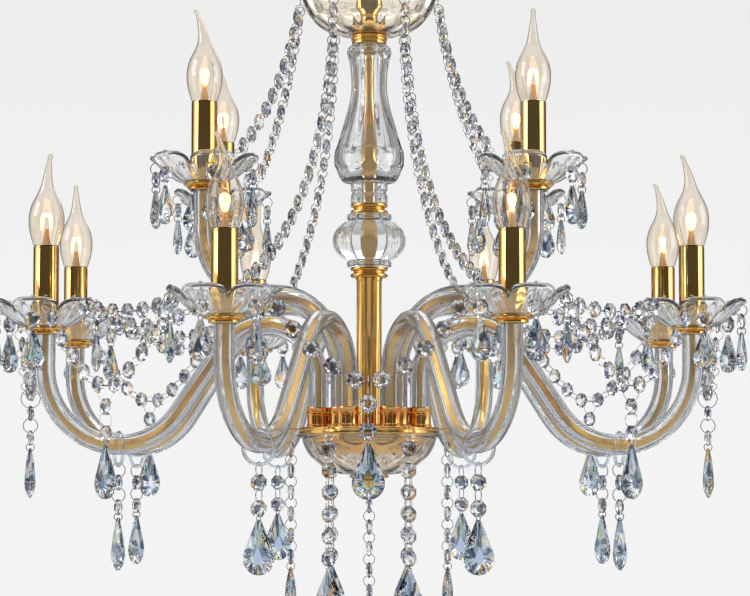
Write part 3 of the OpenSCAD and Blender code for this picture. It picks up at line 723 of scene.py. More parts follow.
# Finish: material name, main and deeper colour, roughness, and how far the roughness spreads
METALS = {
    "conduit": ("conduit_gold", (0.93, 0.54, 0.09), (0.78, 0.4, 0.05), 0.16, 0.1),
    # The cups' deeper orange copy of the gold is painted reflection: it stands for the orange light the
    # crowded cups throw on each other.
    "cup": ("cup_gold_painted_reflection", (0.97, 0.55, 0.18), (0.88, 0.3, 0.08), 0.07, 0.05),
    "steel": ("plated_wire", (0.72, 0.71, 0.68), (0.5, 0.48, 0.45), 0.18, 0.1),
}
PLASTICS = {
    "plastic": ("holder_plastic", (0.86, 0.84, 0.78), (0.8, 0.77, 0.7), 0.45, 0.1),
    "lead": ("lead_cover", (0.8, 0.78, 0.7), (0.74, 0.71, 0.62), 0.35, 0.1),
}

# Finish: material name, main and deeper tint, refraction index, roughness, wave height, wave scale and haze
GLASSES = {
    # The bowls' amber deep tint is painted reflection: it stands for the gold glints in the pressed ridges.
    "bowl": ("bowl_glass_painted_glints", (1.0, 0.97, 0.92), (1.0, 0.86, 0.64), 1.55, 0.01, 0.15, 40.0, 0.04),
    "ring": ("ring_glass", (0.82, 0.87, 0.95), (0.7, 0.76, 0.88), 1.6, 0.01, 0.1, 40.0, 0.0),
    # The bulbs' smoky amber tint is painted shade and glow: the glass is clear, and the tint stands for the
    # dark surroundings seen in it and the amber light near the filament.
    "bulb": ("bulb_glass", (0.95, 0.91, 0.85), (0.93, 0.86, 0.76), 1.45, 0.0, 0.02, 40.0, 0.0),
    # The stem's strong amber tint and milky share are painted glow: they stand for the filament's light on
    # the glass mount.
    "stem": ("stem_glass_painted_glow", (1.0, 0.74, 0.4), (1.0, 0.6, 0.24), 1.45, 0.1, 0.1, 40.0, 0.5),
}

# Painted light on the octagons: where each colour starts, as a share of the facets. Blue and amber facets
# are painted fire and gold glints, near-black ones painted dark reflections.
BEAD_PAINTED_LIGHT = (
    (0.0, (1.0, 1.0, 1.0)),
    (0.34, (0.82, 0.87, 0.95)),
    (0.5, (0.4, 0.45, 0.56)),
    (0.64, (0.04, 0.05, 0.09)),
    (0.82, (1.0, 0.62, 0.28)),
    (0.88, (1.0, 1.0, 1.0)),
)


def drop_painted_light(blue):
    """The same painted fire and reflections for a teardrop, with the cool facets' painted blue from the look
    settings.
    """
    return (
        (0.0, (1.0, 1.0, 1.0)),
        (0.28, blue),
        (0.44, (0.36, 0.48, 0.7)),
        (0.56, (0.04, 0.06, 0.12)),
        (0.74, (1.0, 0.45, 0.12)),
        (0.8, (0.4, 0.82, 0.78)),
        (0.86, (1.0, 1.0, 1.0)),
        (0.95, (1.0, 0.85, 0.45)),
    )


def build_finishes(look):
    """All materials, from the tables above and the colours of the look settings."""
    groups = {"polish": polish_group(), "patina": patina_group(), "ripple": ripple_group()}
    gold = (tuple(look.gold), tuple(look.deep_gold))
    FINISHES["gold"] = polished("polished_gold", groups, *gold, 0.13, 0.1)
    FINISHES["mirror"] = polished("mirror_gold", groups, *gold, 0.05, 0.03, bump=0.01)
    for finish, (name, *values) in METALS.items():
        FINISHES[finish] = polished(name, groups, *values)
    for finish, (name, *values) in PLASTICS.items():
        FINISHES[finish] = polished(name, groups, *values, metallic=0.0)
    tints = {
        "arm": ("arm_glass", tuple(look.arm_glass), (0.88, 0.93, 0.99), 1.5, 0.01, 0.1, 60.0, 0.07),
        "glass": ("pressed_glass", tuple(look.glass), (0.93, 0.95, 0.97), 1.52, 0.01, 0.15, 40.0, 0.04),
    }
    for finish, (name, *values) in {**GLASSES, **tints}.items():
        FINISHES[finish] = clear_glass(name, groups, *values)
    FINISHES["glow"] = glowing("filament_glow", tuple(look.glow), look.glow_strength)
    FINISHES["crystal"] = cut_crystal("cut_crystal", BEAD_PAINTED_LIGHT, 1.6)
    FINISHES["drop"] = cut_crystal("drop_crystal", drop_painted_light(tuple(look.crystal_painted_blue)), 1.65)


# Settings, as the panel shows them


class ChandelierSizes(bpy.types.PropertyGroup):
    """Sizes of the looks that the solids leave plain."""

    arm_flutes: bpy.props.IntProperty(
        name="Arm flutes", description="Ribs round a glass arm", default=10, min=4
    )
    arm_flute_depth: bpy.props.FloatProperty(
        name="Arm flute depth", description="Depth of an arm's flutes, in millimetres", default=0.9, min=0
    )
    vase_ribs: bpy.props.IntProperty(
        name="Vase ribs", description="Ribs round the vase and the ball", default=12
    )
    vase_rib_depth: bpy.props.FloatProperty(
        name="Vase rib depth", description="Depth of the vase's ribs, in millimetres", default=3.0, min=0
    )
    dish_petals: bpy.props.IntProperty(
        name="Dish petals", description="Petals of a drip dish", default=6, min=3
    )
    bowl_panels: bpy.props.IntProperty(
        name="Bowl panels", description="Panels round each bowl", default=12, min=6
    )


class ChandelierLook(bpy.types.PropertyGroup):
    """Colours of the metal, glass and light."""

    gold: bpy.props.FloatVectorProperty(
        name="Gold", description="Polished gold plating", subtype="COLOR", default=(0.94, 0.6, 0.2)
    )
    deep_gold: bpy.props.FloatVectorProperty(
        name="Deep gold", description="Deeper tone of the plating", subtype="COLOR",
        default=(0.86, 0.48, 0.12)
    )
    glass: bpy.props.FloatVectorProperty(
        name="Glass", description="Tint of the pressed glass", subtype="COLOR", default=(0.97, 0.98, 0.99)
    )
    arm_glass: bpy.props.FloatVectorProperty(
        name="Arm glass", description="Tint of the drawn arm glass", subtype="COLOR",
        default=(0.96, 0.98, 1.0)
    )
    # The crystals' blue is painted light: it stands for the fire and reflections of clear cut crystal.
    crystal_painted_blue: bpy.props.FloatVectorProperty(
        name="Crystal blue", description="Blue of a crystal's cool facets", subtype="COLOR",
        default=(0.72, 0.83, 1.0)
    )
    glow: bpy.props.FloatVectorProperty(
        name="Glow", description="Colour of the filaments", subtype="COLOR", default=(1.0, 0.42, 0.08)
    )
    glow_strength: bpy.props.FloatProperty(
        name="Glow strength", description="Strength of the filaments", default=5.0, min=0
    )


class ChandelierOperator:
    """Shared options of the build steps."""

    bl_options = {"REGISTER", "UNDO"}


class CHANDELIER_OT_stage(ChandelierOperator, bpy.types.Operator):
    """Sets the camera, the pale floor and backdrop, and the soft lamps"""

    bl_idname = "chandelier.stage"
    bl_label = "Stage"

    def execute(self, context):
        scene = context.scene
        scene.view_settings.view_transform = "Standard"
        camera_data = bpy.data.cameras.new("camera")
        camera_data.sensor_width = CAMERA_SENSOR
        camera_data.lens = CAMERA_LENS
        camera = bpy.data.objects.new("camera", camera_data)
        camera.location = CAMERA_PLACE
        camera.rotation_euler = (CAMERA_TILT, 0, 0)
        scene.collection.objects.link(camera)
        scene.camera = camera
        for name, place, size, power in LAMPS:
            lamp_data = bpy.data.lights.new(name, "AREA")
            lamp_data.size = size
            lamp_data.energy = power
            lamp = bpy.data.objects.new(name, lamp_data)
            lamp.location = place
            aim = np.array([0, 0, HUB_Z * MM]) - place
            lamp.rotation_euler = (
                math.atan2(math.hypot(aim[0], aim[1]), -aim[2]),
                0,
                math.atan2(aim[1], aim[0]) - math.pi / 2,
            )
            scene.collection.objects.link(lamp)
        self.build_world(scene)
        self.build_floor(scene)
        return {"FINISHED"}

    def build_world(self, scene):
        """Pale where it is seen or looked through, and plain grey as a light. Where it is reflected, also by
        metal that lies behind glass, there are soft boxes at both sides and overhead."""
        world = bpy.data.worlds.new("studio")
        scene.world = world
        world.use_nodes = True
        tree = world.node_tree
        tree.nodes.clear()
        coords = add_node(tree, "ShaderNodeTexCoord")
        axes = add_node(tree, "ShaderNodeSeparateXYZ", {"Vector": coords.outputs["Generated"]})
        fade = add_node(
            tree, "ShaderNodeMapRange", {"Value": axes.outputs["Z"]},
            in_From_Min=0.05, in_To_Min=0.9, in_To_Max=0.5,
        )
        backdrop = add_node(tree, "ShaderNodeBackground", {"Color": fade.outputs["Result"]})
        path = add_node(tree, "ShaderNodeLightPath")
        boxes = add_node(tree, "ShaderNodeBackground", {"Color": self.soft_boxes(tree, axes, path)})
        light = add_node(tree, "ShaderNodeBackground", in_Strength=0.55, in_Color=(0.95, 0.97, 1.0, 1))
        rays = path.outputs
        seen = add_maths(tree, "MAXIMUM", rays["Is Camera Ray"], rays["Is Transmission Ray"])
        seen_or_light = add_node(
            tree, "ShaderNodeMixShader", {"Fac": seen, 1: light.outputs[0], 2: backdrop.outputs[0]}
        )
        bounced = rays["Glossy Depth"]
        clear_of_floor = add_maths(tree, "SUBTRACT", bounced, rays["Is Diffuse Ray"], clamp=True)
        shares = {"Fac": clear_of_floor, 1: seen_or_light.outputs[0], 2: boxes.outputs[0]}
        mix = add_node(tree, "ShaderNodeMixShader", shares)
        add_node(tree, "ShaderNodeOutputWorld", {"Surface": mix.outputs[0]})

    def soft_boxes(self, tree, axes, path):
        """Brightness by direction: tall boxes at the left and right, dark between them, and one overhead.
        The dark is lifted for what glass passes on."""
        turn = add_maths(tree, "ARCTAN2", axes.outputs["X"], axes.outputs["Y"])
        wave = add_maths(tree, "COSINE", add_maths(tree, "MULTIPLY", turn, 2.0))
        dark = add_node(
            tree, "ShaderNodeMapRange", {"Value": path.outputs["Is Transmission Ray"]},
            in_To_Min=0.08, in_To_Max=0.3,
        )
        bands = add_node(
            tree, "ShaderNodeMapRange", {"Value": wave, "To Min": dark.outputs["Result"]},
            interpolation_type="SMOOTHSTEP", in_From_Min=-0.5, in_From_Max=-0.9, in_To_Max=1.0,
        )
        top = add_node(
            tree, "ShaderNodeMapRange", {"Value": axes.outputs["Z"]},
            interpolation_type="SMOOTHSTEP", in_From_Min=0.72, in_From_Max=0.82,
        )
        return add_maths(tree, "MAXIMUM", bands.outputs["Result"], top.outputs["Result"])

    def build_floor(self, scene):
        """A pale floor well under the chandelier."""
        material, _, shader = new_material("pale_floor")
        shader.inputs["Base Color"].default_value = (0.86, 0.86, 0.86, 1)
        shader.inputs["Roughness"].default_value = 0.9
        signs = ((-1, -1), (1, -1), (1, 1), (-1, 1))
        corners = [(x * FLOOR_HALF, y * FLOOR_HALF, FLOOR_Z) for x, y in signs]
        mesh = bpy.data.meshes.new("floor")
        mesh.from_pydata(corners, [], [(0, 1, 2, 3)])
        mesh.materials.append(material)
        floor = bpy.data.objects.new("floor", mesh)
        scene.collection.objects.link(floor)


class CHANDELIER_OT_column(ChandelierOperator, bpy.types.Operator):
    """Builds the ribbed vase and ball, the crown dish and the turned gold pieces of the column"""

    bl_idname = "chandelier.column"
    bl_label = "Column"

    def execute(self, context):
        sizes = context.scene.chandelier_sizes
        sides = sizes.vase_ribs * 8
        self.build_vase(sizes, sides)
        self.build_ball(sizes, sides)
        collar = rounded([(ROD_R, 0.1, 0), (19, 0.1, 1.2), (19, 8, 2.5), (17, 11, 2.5), (19, 14, 2.5),
                          (19, 21.9, 1.2), (ROD_R, 21.9, 0)])
        self.turned(
            "vase_collar_glass", collar, COLLAR_Z, sides, "glass", "clear_glass", ["vase_collar"], 0.8
        )
        cap = rounded([(ROD_R, 0, 0), (19, 0, 1.2), (19, 3.4, 1.2), (15.8, 4.2, 1), (15.8, 6.3, 1),
                       (19, 7.1, 1.2), (19, 10.5, 1.2), (ROD_R, 10.5, 0)])
        caps = joined([revolve(cap, 64, closed=True).raised(height) for height in CAP_HEIGHTS])
        make_piece("ball_caps_turned", caps, "gold", ["ball_caps"])
        ring = rounded([(ROD_R, 0, 0), (17.8, 0, 1), (17.8, 2.6, 0.6), (16.2, 3.4, 0.5), (18.5, 4.2, 0.8),
                        (18.5, 6.4, 0.8), (16.2, 7.2, 0.5), (17.8, 8, 0.6), (17.8, 10, 1), (ROD_R, 10, 0)])
        self.turned("vase_ring_turned", ring, RING_Z, 64, "gold", "gilt_metal", ["vase_ring"])
        stem = [(12, 0), (13.5, 0), (13.5, 3), (12.9, 4), (12.9, 150), (13.5, 151), (13.5, 154), (12, 154)]
        lobes = np.zeros((len(stem), 96))
        lobes[3:5] = -0.5 * (1 - np.abs(np.cos(6 * round_angles(96))))
        form = revolve(stem, 96, lobes, closed=True)
        make_piece("stem_reeded", form, "mirror", ["stem_tube"])
        dome = np.vstack([
            [(ROD_R, 0), (21.3, 0), (21.3, 3)],
            spline([(20.5, 3.6), (15.4, 6.5), (12.3, 14), (12.8, 20), (11.2, 27), (11, 32)], 4),
            [(ROD_R, 32)],
        ])
        self.turned("top_cap_turned", dome, CROWN_Z + WALL, 64, "gold", "gilt_metal", ["top_cap"])
        crown = glass_bowl(sizes.bowl_panels).raised(CROWN_Z)
        make_piece("crown_dish_pressed", crown, "bowl", ["crown_dish"])
        dress("centre_rod", "gold")
        dress("hanging_loop", "gold")
        return {"FINISHED"}

    def turned(self, name, profile, base, sides, finish, slot, nodes, scallop=0.0):
        """A closed turned piece whose outer rows may be lightly scalloped."""
        profile = np.asarray(profile, dtype=float)
        outer = (profile[:, :1] > ROD_R + 1).astype(float)
        waves = 1 - np.abs(np.cos(6 * round_angles(sides)))[None, :]
        form = revolve(profile, sides, -scallop * outer * waves, closed=True)
        make_piece(name, form.raised(base), finish, nodes)

    def build_vase(self, sizes, sides):
        """The vase's wall: a ribbed outside with a plain belt round its belly, and a smooth inside. The
        shape has shares of the height, with radii."""
        shape = np.array([
            (0.008, 27.5), (0.03, 29.6), (0.06, 31.8), (0.095, 33.8), (0.11, 34.9), (0.125, 35.6),
            (0.175, 36.0), (0.225, 35.4), (0.24, 34.6), (0.26, 33.4), (0.31, 31.2), (0.42, 26.6),
            (0.54, 21.8), (0.66, 18.6), (0.78, 18.8), (0.87, 20.4), (0.915, 22.2), (0.945, 23.0),
            (0.97, 22.4), (0.985, 20.8), (0.994, 18.6),
        ])
        outer = spline(np.column_stack([shape[:, 1], shape[:, 0] * VASE_H]), 3)
        inner = spline([(24, 5.5), (28.5, 12), (30.0, 24), (29.4, 33), (25.6, 45), (21.0, 60), (16.4, 77),
                        (13.4, 94), (13.6, 112), (16, 132)], 3)
        profile = np.vstack([
            [(ROD_R, 0.3), (25.6, 0.3), (26.6, 0.6)],
            outer,
            [(17.2, 142.7), (ROD_R, 142.7), (ROD_R, 138), (14.5, 137)],
            inner[::-1],
            [(ROD_R, 4)],
        ])
        share = outer[:, 1] / VASE_H
        cuts = np.clip(np.minimum(share, 1.02 - share) * 9, 0, 1)
        belt_at = 0.175
        belt_half = 0.055
        belt = 1 - 0.75 * np.exp(-((share - belt_at) / belt_half) ** 8)
        fade = np.zeros(len(profile))
        fade[3:3 + len(outer)] = cuts * belt
        waves = 1 - np.abs(np.cos(sizes.vase_ribs * round_angles(sides) / 2))
        swell = -sizes.vase_rib_depth * fade[:, None] * waves[None, :]
        form = revolve(profile, sides, swell, closed=True).raised(VASE_Z)
        make_piece("vase_ribbed", form, "glass", ["vase"])

    def build_ball(self, sizes, sides):
        """The ball between its two scalloped collars, solid glass round the rod."""
        collar = rounded([(ROD_R, 0.1, 0), (23, 0.1, 1.8), (23, 5.6, 1.8), (19.5, 7.6, 1.2)])
        middle = 27.5
        steep = 52
        a = np.radians(np.linspace(-steep, steep, 25))
        rise = 19.0 * np.sin(a) / math.sin(math.radians(steep))
        belly = np.column_stack([37.5 * np.cos(a) ** 0.8, middle + rise])
        mirrored = collar[::-1] * [1, -1] + [0, 2 * middle]
        profile = np.vstack([collar, belly, mirrored])
        fade = np.full(len(profile), 0.55)
        fade[[0, -1]] = 0
        fade[len(collar):-len(collar)] = 1
        waves = 1 - np.abs(np.cos(sizes.vase_ribs * round_angles(sides) / 2))
        swell = -sizes.vase_rib_depth * fade[:, None] * waves[None, :]
        form = revolve(profile, sides, swell, closed=True).raised(BALL_Z)
        make_piece("glass_ball_ribbed", form, "glass", ["glass_ball"])


def glass_bowl(panels):
    """Pressed bowl on a foot. Its outside has long scoops, with a row of thumbprints above and between them,
    which meet in sharp ridges and end under a plain rolled lip. Its inside is smooth."""
    steep = 80
    foot_r = 22
    spread = 47
    height = 38
    depth = 2.3
    a = np.radians(np.linspace(6, steep, 31))
    scale = math.sin(math.radians(steep))
    lift = 1 - math.cos(math.radians(steep))
    outer = np.column_stack([foot_r + spread * np.sin(a) / scale, height * (1 - np.cos(a)) / lift])
    inner = outer - WALL * np.column_stack([np.sin(a), -np.cos(a)])
    lip = rounded([(69.4, 38.2, 1), (74, 38.2, 1.35), (74, 41, 1.35), (65.8, 41, 1.5), (64.6, 36, 1)])
    profile = np.vstack([[(ROD_R, 0.1), (21, 0.1)], outer, lip[6:], inner[::-1][2:], [(ROD_R, WALL + 0.4)]])
    sides = panels * 12
    share = np.linspace(0, 1, len(outer))
    scoops = np.zeros(len(profile))
    prints = np.zeros(len(profile))
    scoops[2:2 + len(outer)] = np.sin(np.pi * np.clip((share + 0.08) / 0.76, 0, 1)) ** 0.8
    prints[2:2 + len(outer)] = np.sin(np.pi * np.clip((share - 0.56) / 0.42, 0, 1)) ** 0.8
    turn = panels * round_angles(sides) / 2
    cuts = np.maximum(scoops[:, None] * np.abs(np.cos(turn)), prints[:, None] * np.abs(np.sin(turn)))
    return revolve(profile, sides, -depth * cuts, closed=True)


class CHANDELIER_OT_hub(ChandelierOperator, bpy.types.Operator):
    """Builds the hub plate, its arm cups, the bowl under it and the finial"""

    bl_idname = "chandelier.hub"
    bl_label = "Hub"

    def execute(self, context):
        plate = [(ROD_R, -PLATE_T), (68.6, -PLATE_T), (69.5, -3.4), (69.5, -7), (70.6, -7), (71.4, -6.2),
                 (71.5, -4.4), (71.0, -3.2), (71.5, -2.2), (71.2, -0.8), (70.4, 0), (68.5, 0),
                 (67.6, -0.6), (66.6, 0), (ROD_R, 0)]
        lugs = at_places(wire_lug(), [(azimuth, LUG_RING, -1.75) for azimuth in LUG_TURNS])
        form = joined([revolve(plate, 128, closed=True), lugs])
        make_piece("hub_plate_turned", form, "gold", ["hub_plate"])
        cup = [(10.3, 1), (5.1, 1), (5.1, 0), (11.2, 0), (11.8, 0.7), (11.8, 2.2), (11.1, 3.0), (10.9, 8),
               (11.0, 12), (11.7, 12.8), (11.7, 14.2), (11.0, 15), (11.0, 18.4), (11.4, 19.2), (11.1, 20),
               (10.3, 20)]
        cups = at_places(revolve(cup, 48, closed=True), FEET)
        make_piece("arm_cups_turned", cups, "cup", ["arm_cups"])
        bowl = glass_bowl(context.scene.chandelier_sizes.bowl_panels).raised(BOWL_Z)
        make_piece("hub_bowl_pressed", bowl, "bowl", ["hub_bowl"])
        finial = np.vstack([
            [(1.5, 0), (8, 0)],
            spline([
                (9.5, 0.4), (13.5, 1.2), (14, 2.6), (12.5, 3.8), (17.5, 4.2), (20, 5.6), (19.6, 7.4),
            ], 3),
            [(18.5, 8), (ROD_R, 8), (ROD_R, 2), (1.5, 2)],
        ])
        eye = rings([(0, 0, -4)], [(0, 1, 0)], [(0, 0, 1)], [4.0], 0.6, 32, 12)
        stud = revolve([(0.2, -0.2), (1.8, -0.2), (1.8, 2), (0.2, 2)], 24)
        form = joined([revolve(finial, 64, closed=True), stud, eye]).raised(FINIAL_Z)
        make_piece("bowl_finial_turned", form, "gold", ["bowl_finial"])
        dress("wiring_cover", "gold")
        dress("arm_nuts", "steel")
        dress("terminal_block", "plastic")
        return {"FINISHED"}


def wire_lug():
    """Flat eyelet on the plate's rim: a washer, its hole round the pin, and a tongue back to the rim."""
    eyelet = revolve([(1.5, -0.75), (3.4, -0.75), (3.6, 0), (3.4, 0.75), (1.5, 0.75)], 24, closed=True)
    section = ((-2.3, -0.7), (2.3, -0.7), (2.3, 0.7), (-2.3, 0.7))
    corners = [(x, y, z) for x in (-10.0, -2.0) for y, z in section]
    sides = [(0, 1, 5, 4), (1, 2, 6, 5), (2, 3, 7, 6), (3, 0, 4, 7), (0, 3, 2, 1), (4, 5, 6, 7)]
    return joined([eyelet, Form(corners, [sides])])


class CHANDELIER_OT_arms(ChandelierOperator, bpy.types.Operator):
    """Builds the twelve fluted glass arms and the gold conduits inside them"""

    bl_idname = "chandelier.arms"
    bl_label = "Arms"

    def execute(self, context):
        sizes = context.scene.chandelier_sizes
        flutes = sizes.arm_flutes
        tiers = (("lower_arm", LOWER_COUNT, lower_path), ("upper_arm", UPPER_COUNT, upper_path))
        conduits = []
        for name, count, path in tiers:
            glass = pipe(path(0.8, 2.7), 10.0, 7.0, flutes * 6, flutes, sizes.arm_flute_depth)
            metal = pipe(path(*CONDUIT_ENDS), CONDUIT_R, CONDUIT_BORE_R, 24)
            for i in range(count):
                node = f"{name}_{i + 1}"
                turn = about_z(arm_turn(i, count))
                make_piece(f"{node}_fluted", glass.turned(turn), "arm", [node])
                conduits.append(metal.turned(turn))
        make_piece("arm_conduits_smooth", joined(conduits), "conduit", ["arm_conduits"])
        dress("arm_wires", "lead")
        return {"FINISHED"}


class CHANDELIER_OT_candles(ChandelierOperator, bpy.types.Operator):
    """Builds the pans, drip dishes, candle sleeves and bulbs"""

    bl_idname = "chandelier.candles"
    bl_label = "Candles"

    def execute(self, context):
        sizes = context.scene.chandelier_sizes
        pan = [(5.1, 3), (10.3, 3), (10.3, 0), (14.4, 0), (15, 0.7), (15, 2.4), (14.2, 3.2), (17.8, 3.8),
               (19.6, 4.4), (20, 5.4), (19.6, 6.5), (18.6, 7), (5.1, 7)]
        pans = at_places(revolve(pan, 64, closed=True), CANDLES)
        make_piece("candle_pans_turned", pans, "gold", ["candle_pans"])
        dish = drip_dish(sizes.dish_petals).raised(PAN_TOP)
        make_piece("drip_dishes_petalled", at_places(dish, CANDLES), "glass", ["bobeches"])
        sleeve = [(11.8, 0), (12.5, 0), (12.5, 76.5), (12.3, 77.2), (12.5, 78.2), (12.3, SLEEVE_LEN),
                  (11.8, SLEEVE_LEN)]
        sleeves = at_places(revolve(sleeve, 64, closed=True).raised(PAN_TOP), CANDLES)
        make_piece("candle_sleeves_turned", sleeves, "mirror", ["candle_sleeves"])
        dress("lamp_holders", "plastic")
        tips = LOWER_TIPS + UPPER_TIPS
        for number, ((turn, reach, z), tip) in enumerate(zip(CANDLES, tips), 1):
            self.build_bulb(number, polar(reach, turn, z + BULB_BASE), tip)
        return {"FINISHED"}

    def build_bulb(self, number, spot, tip):
        """One bulb: a glass envelope with a bent tip, its stem, screw cap and glowing filament."""
        stem = spline([(4.8, -1.0), (3.9, 4), (3.1, 9), (2.5, 14), (2.7, 16.5), (0.8, 17.6)], 3)
        pitch = 3.2
        rows = np.linspace(-21.5, -3.0, 38)
        thread = np.column_stack([6.75 + 0.25 * np.cos(rows * 2 * np.pi / pitch), rows])
        cap = np.vstack([[(2.0, -22.0)], [(5.2, -22.0)], thread, [(6.9, 0.6), (6.6, 1.0)]])
        parts = (
            ("envelope", envelope(), "bulb", "bulb_glass", [f"bulb_{number}"]),
            ("stem", revolve(stem, 16), "stem", "bulb_glass", ()),
            ("cap", revolve(cap, 32), "gold", "gilt_metal", ()),
            ("filament", filament(), "glow", "bulb_glass", ()),
        )
        for part, form, finish, slot, nodes in parts:
            form = form.turned(about_z(tip), spot)
            make_piece(f"bulb_{number}_{part}", form, finish, nodes, f"bulb_{number}_lamp")


def envelope():
    """Bulb glass: a candle profile whose axis leans towards +X above half height, with a thin wall."""
    shape = np.array([
        (6.2, 0), (9.5, 0.0), (12.2, 0.6), (13.7, 4), (15.6, 10.5), (17.1, 18), (17.5, 25),
        (17.2, 31), (15.6, 38), (13.2, 44), (9.8, 50.5), (6.6, 58), (4.8, 66), (3.5, 75),
        (2.4, 82), (2.0, 84.5), (2.4, 87), (2.0, 89), (0.8, 89.9),
    ])
    outer = spline(shape, 3)
    inner = outer.copy()
    inner[:, 0] = np.maximum(outer[:, 0] - 0.6, 0.5)
    inner[:, 1] = np.clip(outer[:, 1], 0.6, 89.0)
    profile = np.vstack([outer, inner[::-1]])
    form = revolve(profile, 56, closed=True)
    height = 90
    lean = 9
    share = np.clip((form.points[:, 2] / height - 0.55) / 0.45, 0, 1)
    form.points[:, 0] += lean * share**2
    return form


def filament():
    """Coiled wire: a fine helix bent into an arch over the stem."""
    coils = 26
    coil_r = 1.7
    wire_r = 0.6
    s = np.linspace(0, 1, 241)
    up = np.sin(np.pi * s)
    out = np.cos(np.pi * s)
    arch = np.column_stack([2.6 * np.sin(2 * np.pi * s), 4.4 * out, 16 + 16 * up])
    coil = 2 * np.pi * coils * s
    centre = arch + coil_r * np.column_stack([np.cos(coil), np.sin(coil) * up, np.sin(coil) * out])
    ahead = np.gradient(centre, axis=0)
    ahead /= np.linalg.norm(ahead, axis=1, keepdims=True)
    side = np.cross(ahead, [1.0, 0.05, 0.02])
    side /= np.linalg.norm(side, axis=1, keepdims=True)
    rise = np.cross(ahead, side)
    a = round_angles(4)[None, :, None]
    points = centre[:, None, :] + wire_r * (np.cos(a) * side[:, None, :] + np.sin(a) * rise[:, None, :])
    return Form(points.reshape(-1, 3), [grid_quads(len(s), 4, False), *end_faces(len(s), 4)])


def drip_dish(petals):
    """Petalled dish. With p the size of cos(petals a / 2) and q the height of a unit circle's arc at p, the
    rim's centre line lies at 41 + 9.8 q out and 13.4 + 11 q up, so that round petals meet in sharp notches.
    Fine pressed ribs run out along the underside, and a rolled bead of radius 2.4 closes the rim."""
    sides = petals * 24
    a = round_angles(sides)[None, :]
    p = np.abs(np.cos(petals * a / 2))
    q = np.sqrt(1 - (1 - p) ** 2 + 0.003)
    flank = spline([(0, 0), (0.1, 0.03), (0.28, 0.16), (0.5, 0.38), (0.72, 0.68), (0.88, 0.88), (1, 1)], 3)
    s = flank[:, :1]
    rise = flank[:, 1:2]
    blend = s**1.3
    middle = 20 + s * ((21 + 9.8 * q) * blend + 29 * (1 - blend))
    lift = 1.5 + rise * ((11.9 + 11 * q) * blend + 20 * (1 - blend)) + 1.8 * np.sin(np.pi * s) * (1 - p) ** 2
    slope = np.stack([np.gradient(middle, axis=0), np.gradient(lift, axis=0)], axis=-1)
    slope /= np.linalg.norm(slope, axis=-1, keepdims=True)
    side = np.stack([slope[..., 1], -slope[..., 0]], axis=-1)
    line = np.stack([middle, lift], axis=-1)
    ribs = (1.3 + 0.7 * np.abs(np.cos(petals * 2 * a)) * np.sin(np.pi * s) ** 0.5)[..., None]
    under = line + ribs * side
    over = (line - 1.3 * side)[::-1]
    turn = np.linspace(-0.25, 1.25, 13)[:, None, None] * np.pi
    bead = line[-1:] + 2.4 * (np.cos(turn) * side[-1:] + np.sin(turn) * slope[-1:])
    foot = [np.tile([reach, 0.1], (1, sides, 1)) for reach in (12.8, 19)]
    hole = np.tile([12.8, WALL], (1, sides, 1))
    rows = np.concatenate([*foot, under[1:-1], bead, over[1:-1], hole], axis=0)
    points = np.stack([rows[..., 0] * np.cos(a), rows[..., 0] * np.sin(a), rows[..., 1]], axis=-1)
    return Form(points.reshape(-1, 3), [grid_quads(len(rows), sides, True)])


def dish_hook(reach, pan, azimuth, turn):
    """Foot of a pin on a drip dish."""
    return polar(reach, azimuth, pan + HOOK_FOOT) + polar(HOOK_R, azimuth + turn, 0)


def make_trimming(name, trimming, nodes, body=ROOT):
    """The octagons, the teardrops and the wires of one trimming, each as a piece."""
    make_piece(f"{name}_octagons", trimming.octagons(), "crystal", nodes, body, 0, True)
    if trimming.drops:
        make_piece(f"{name}_teardrops", trimming.teardrops(), "drop", (), body, 0, True)
    make_piece(f"{name}_wires", trimming.wires(), "steel", (), body, 60)


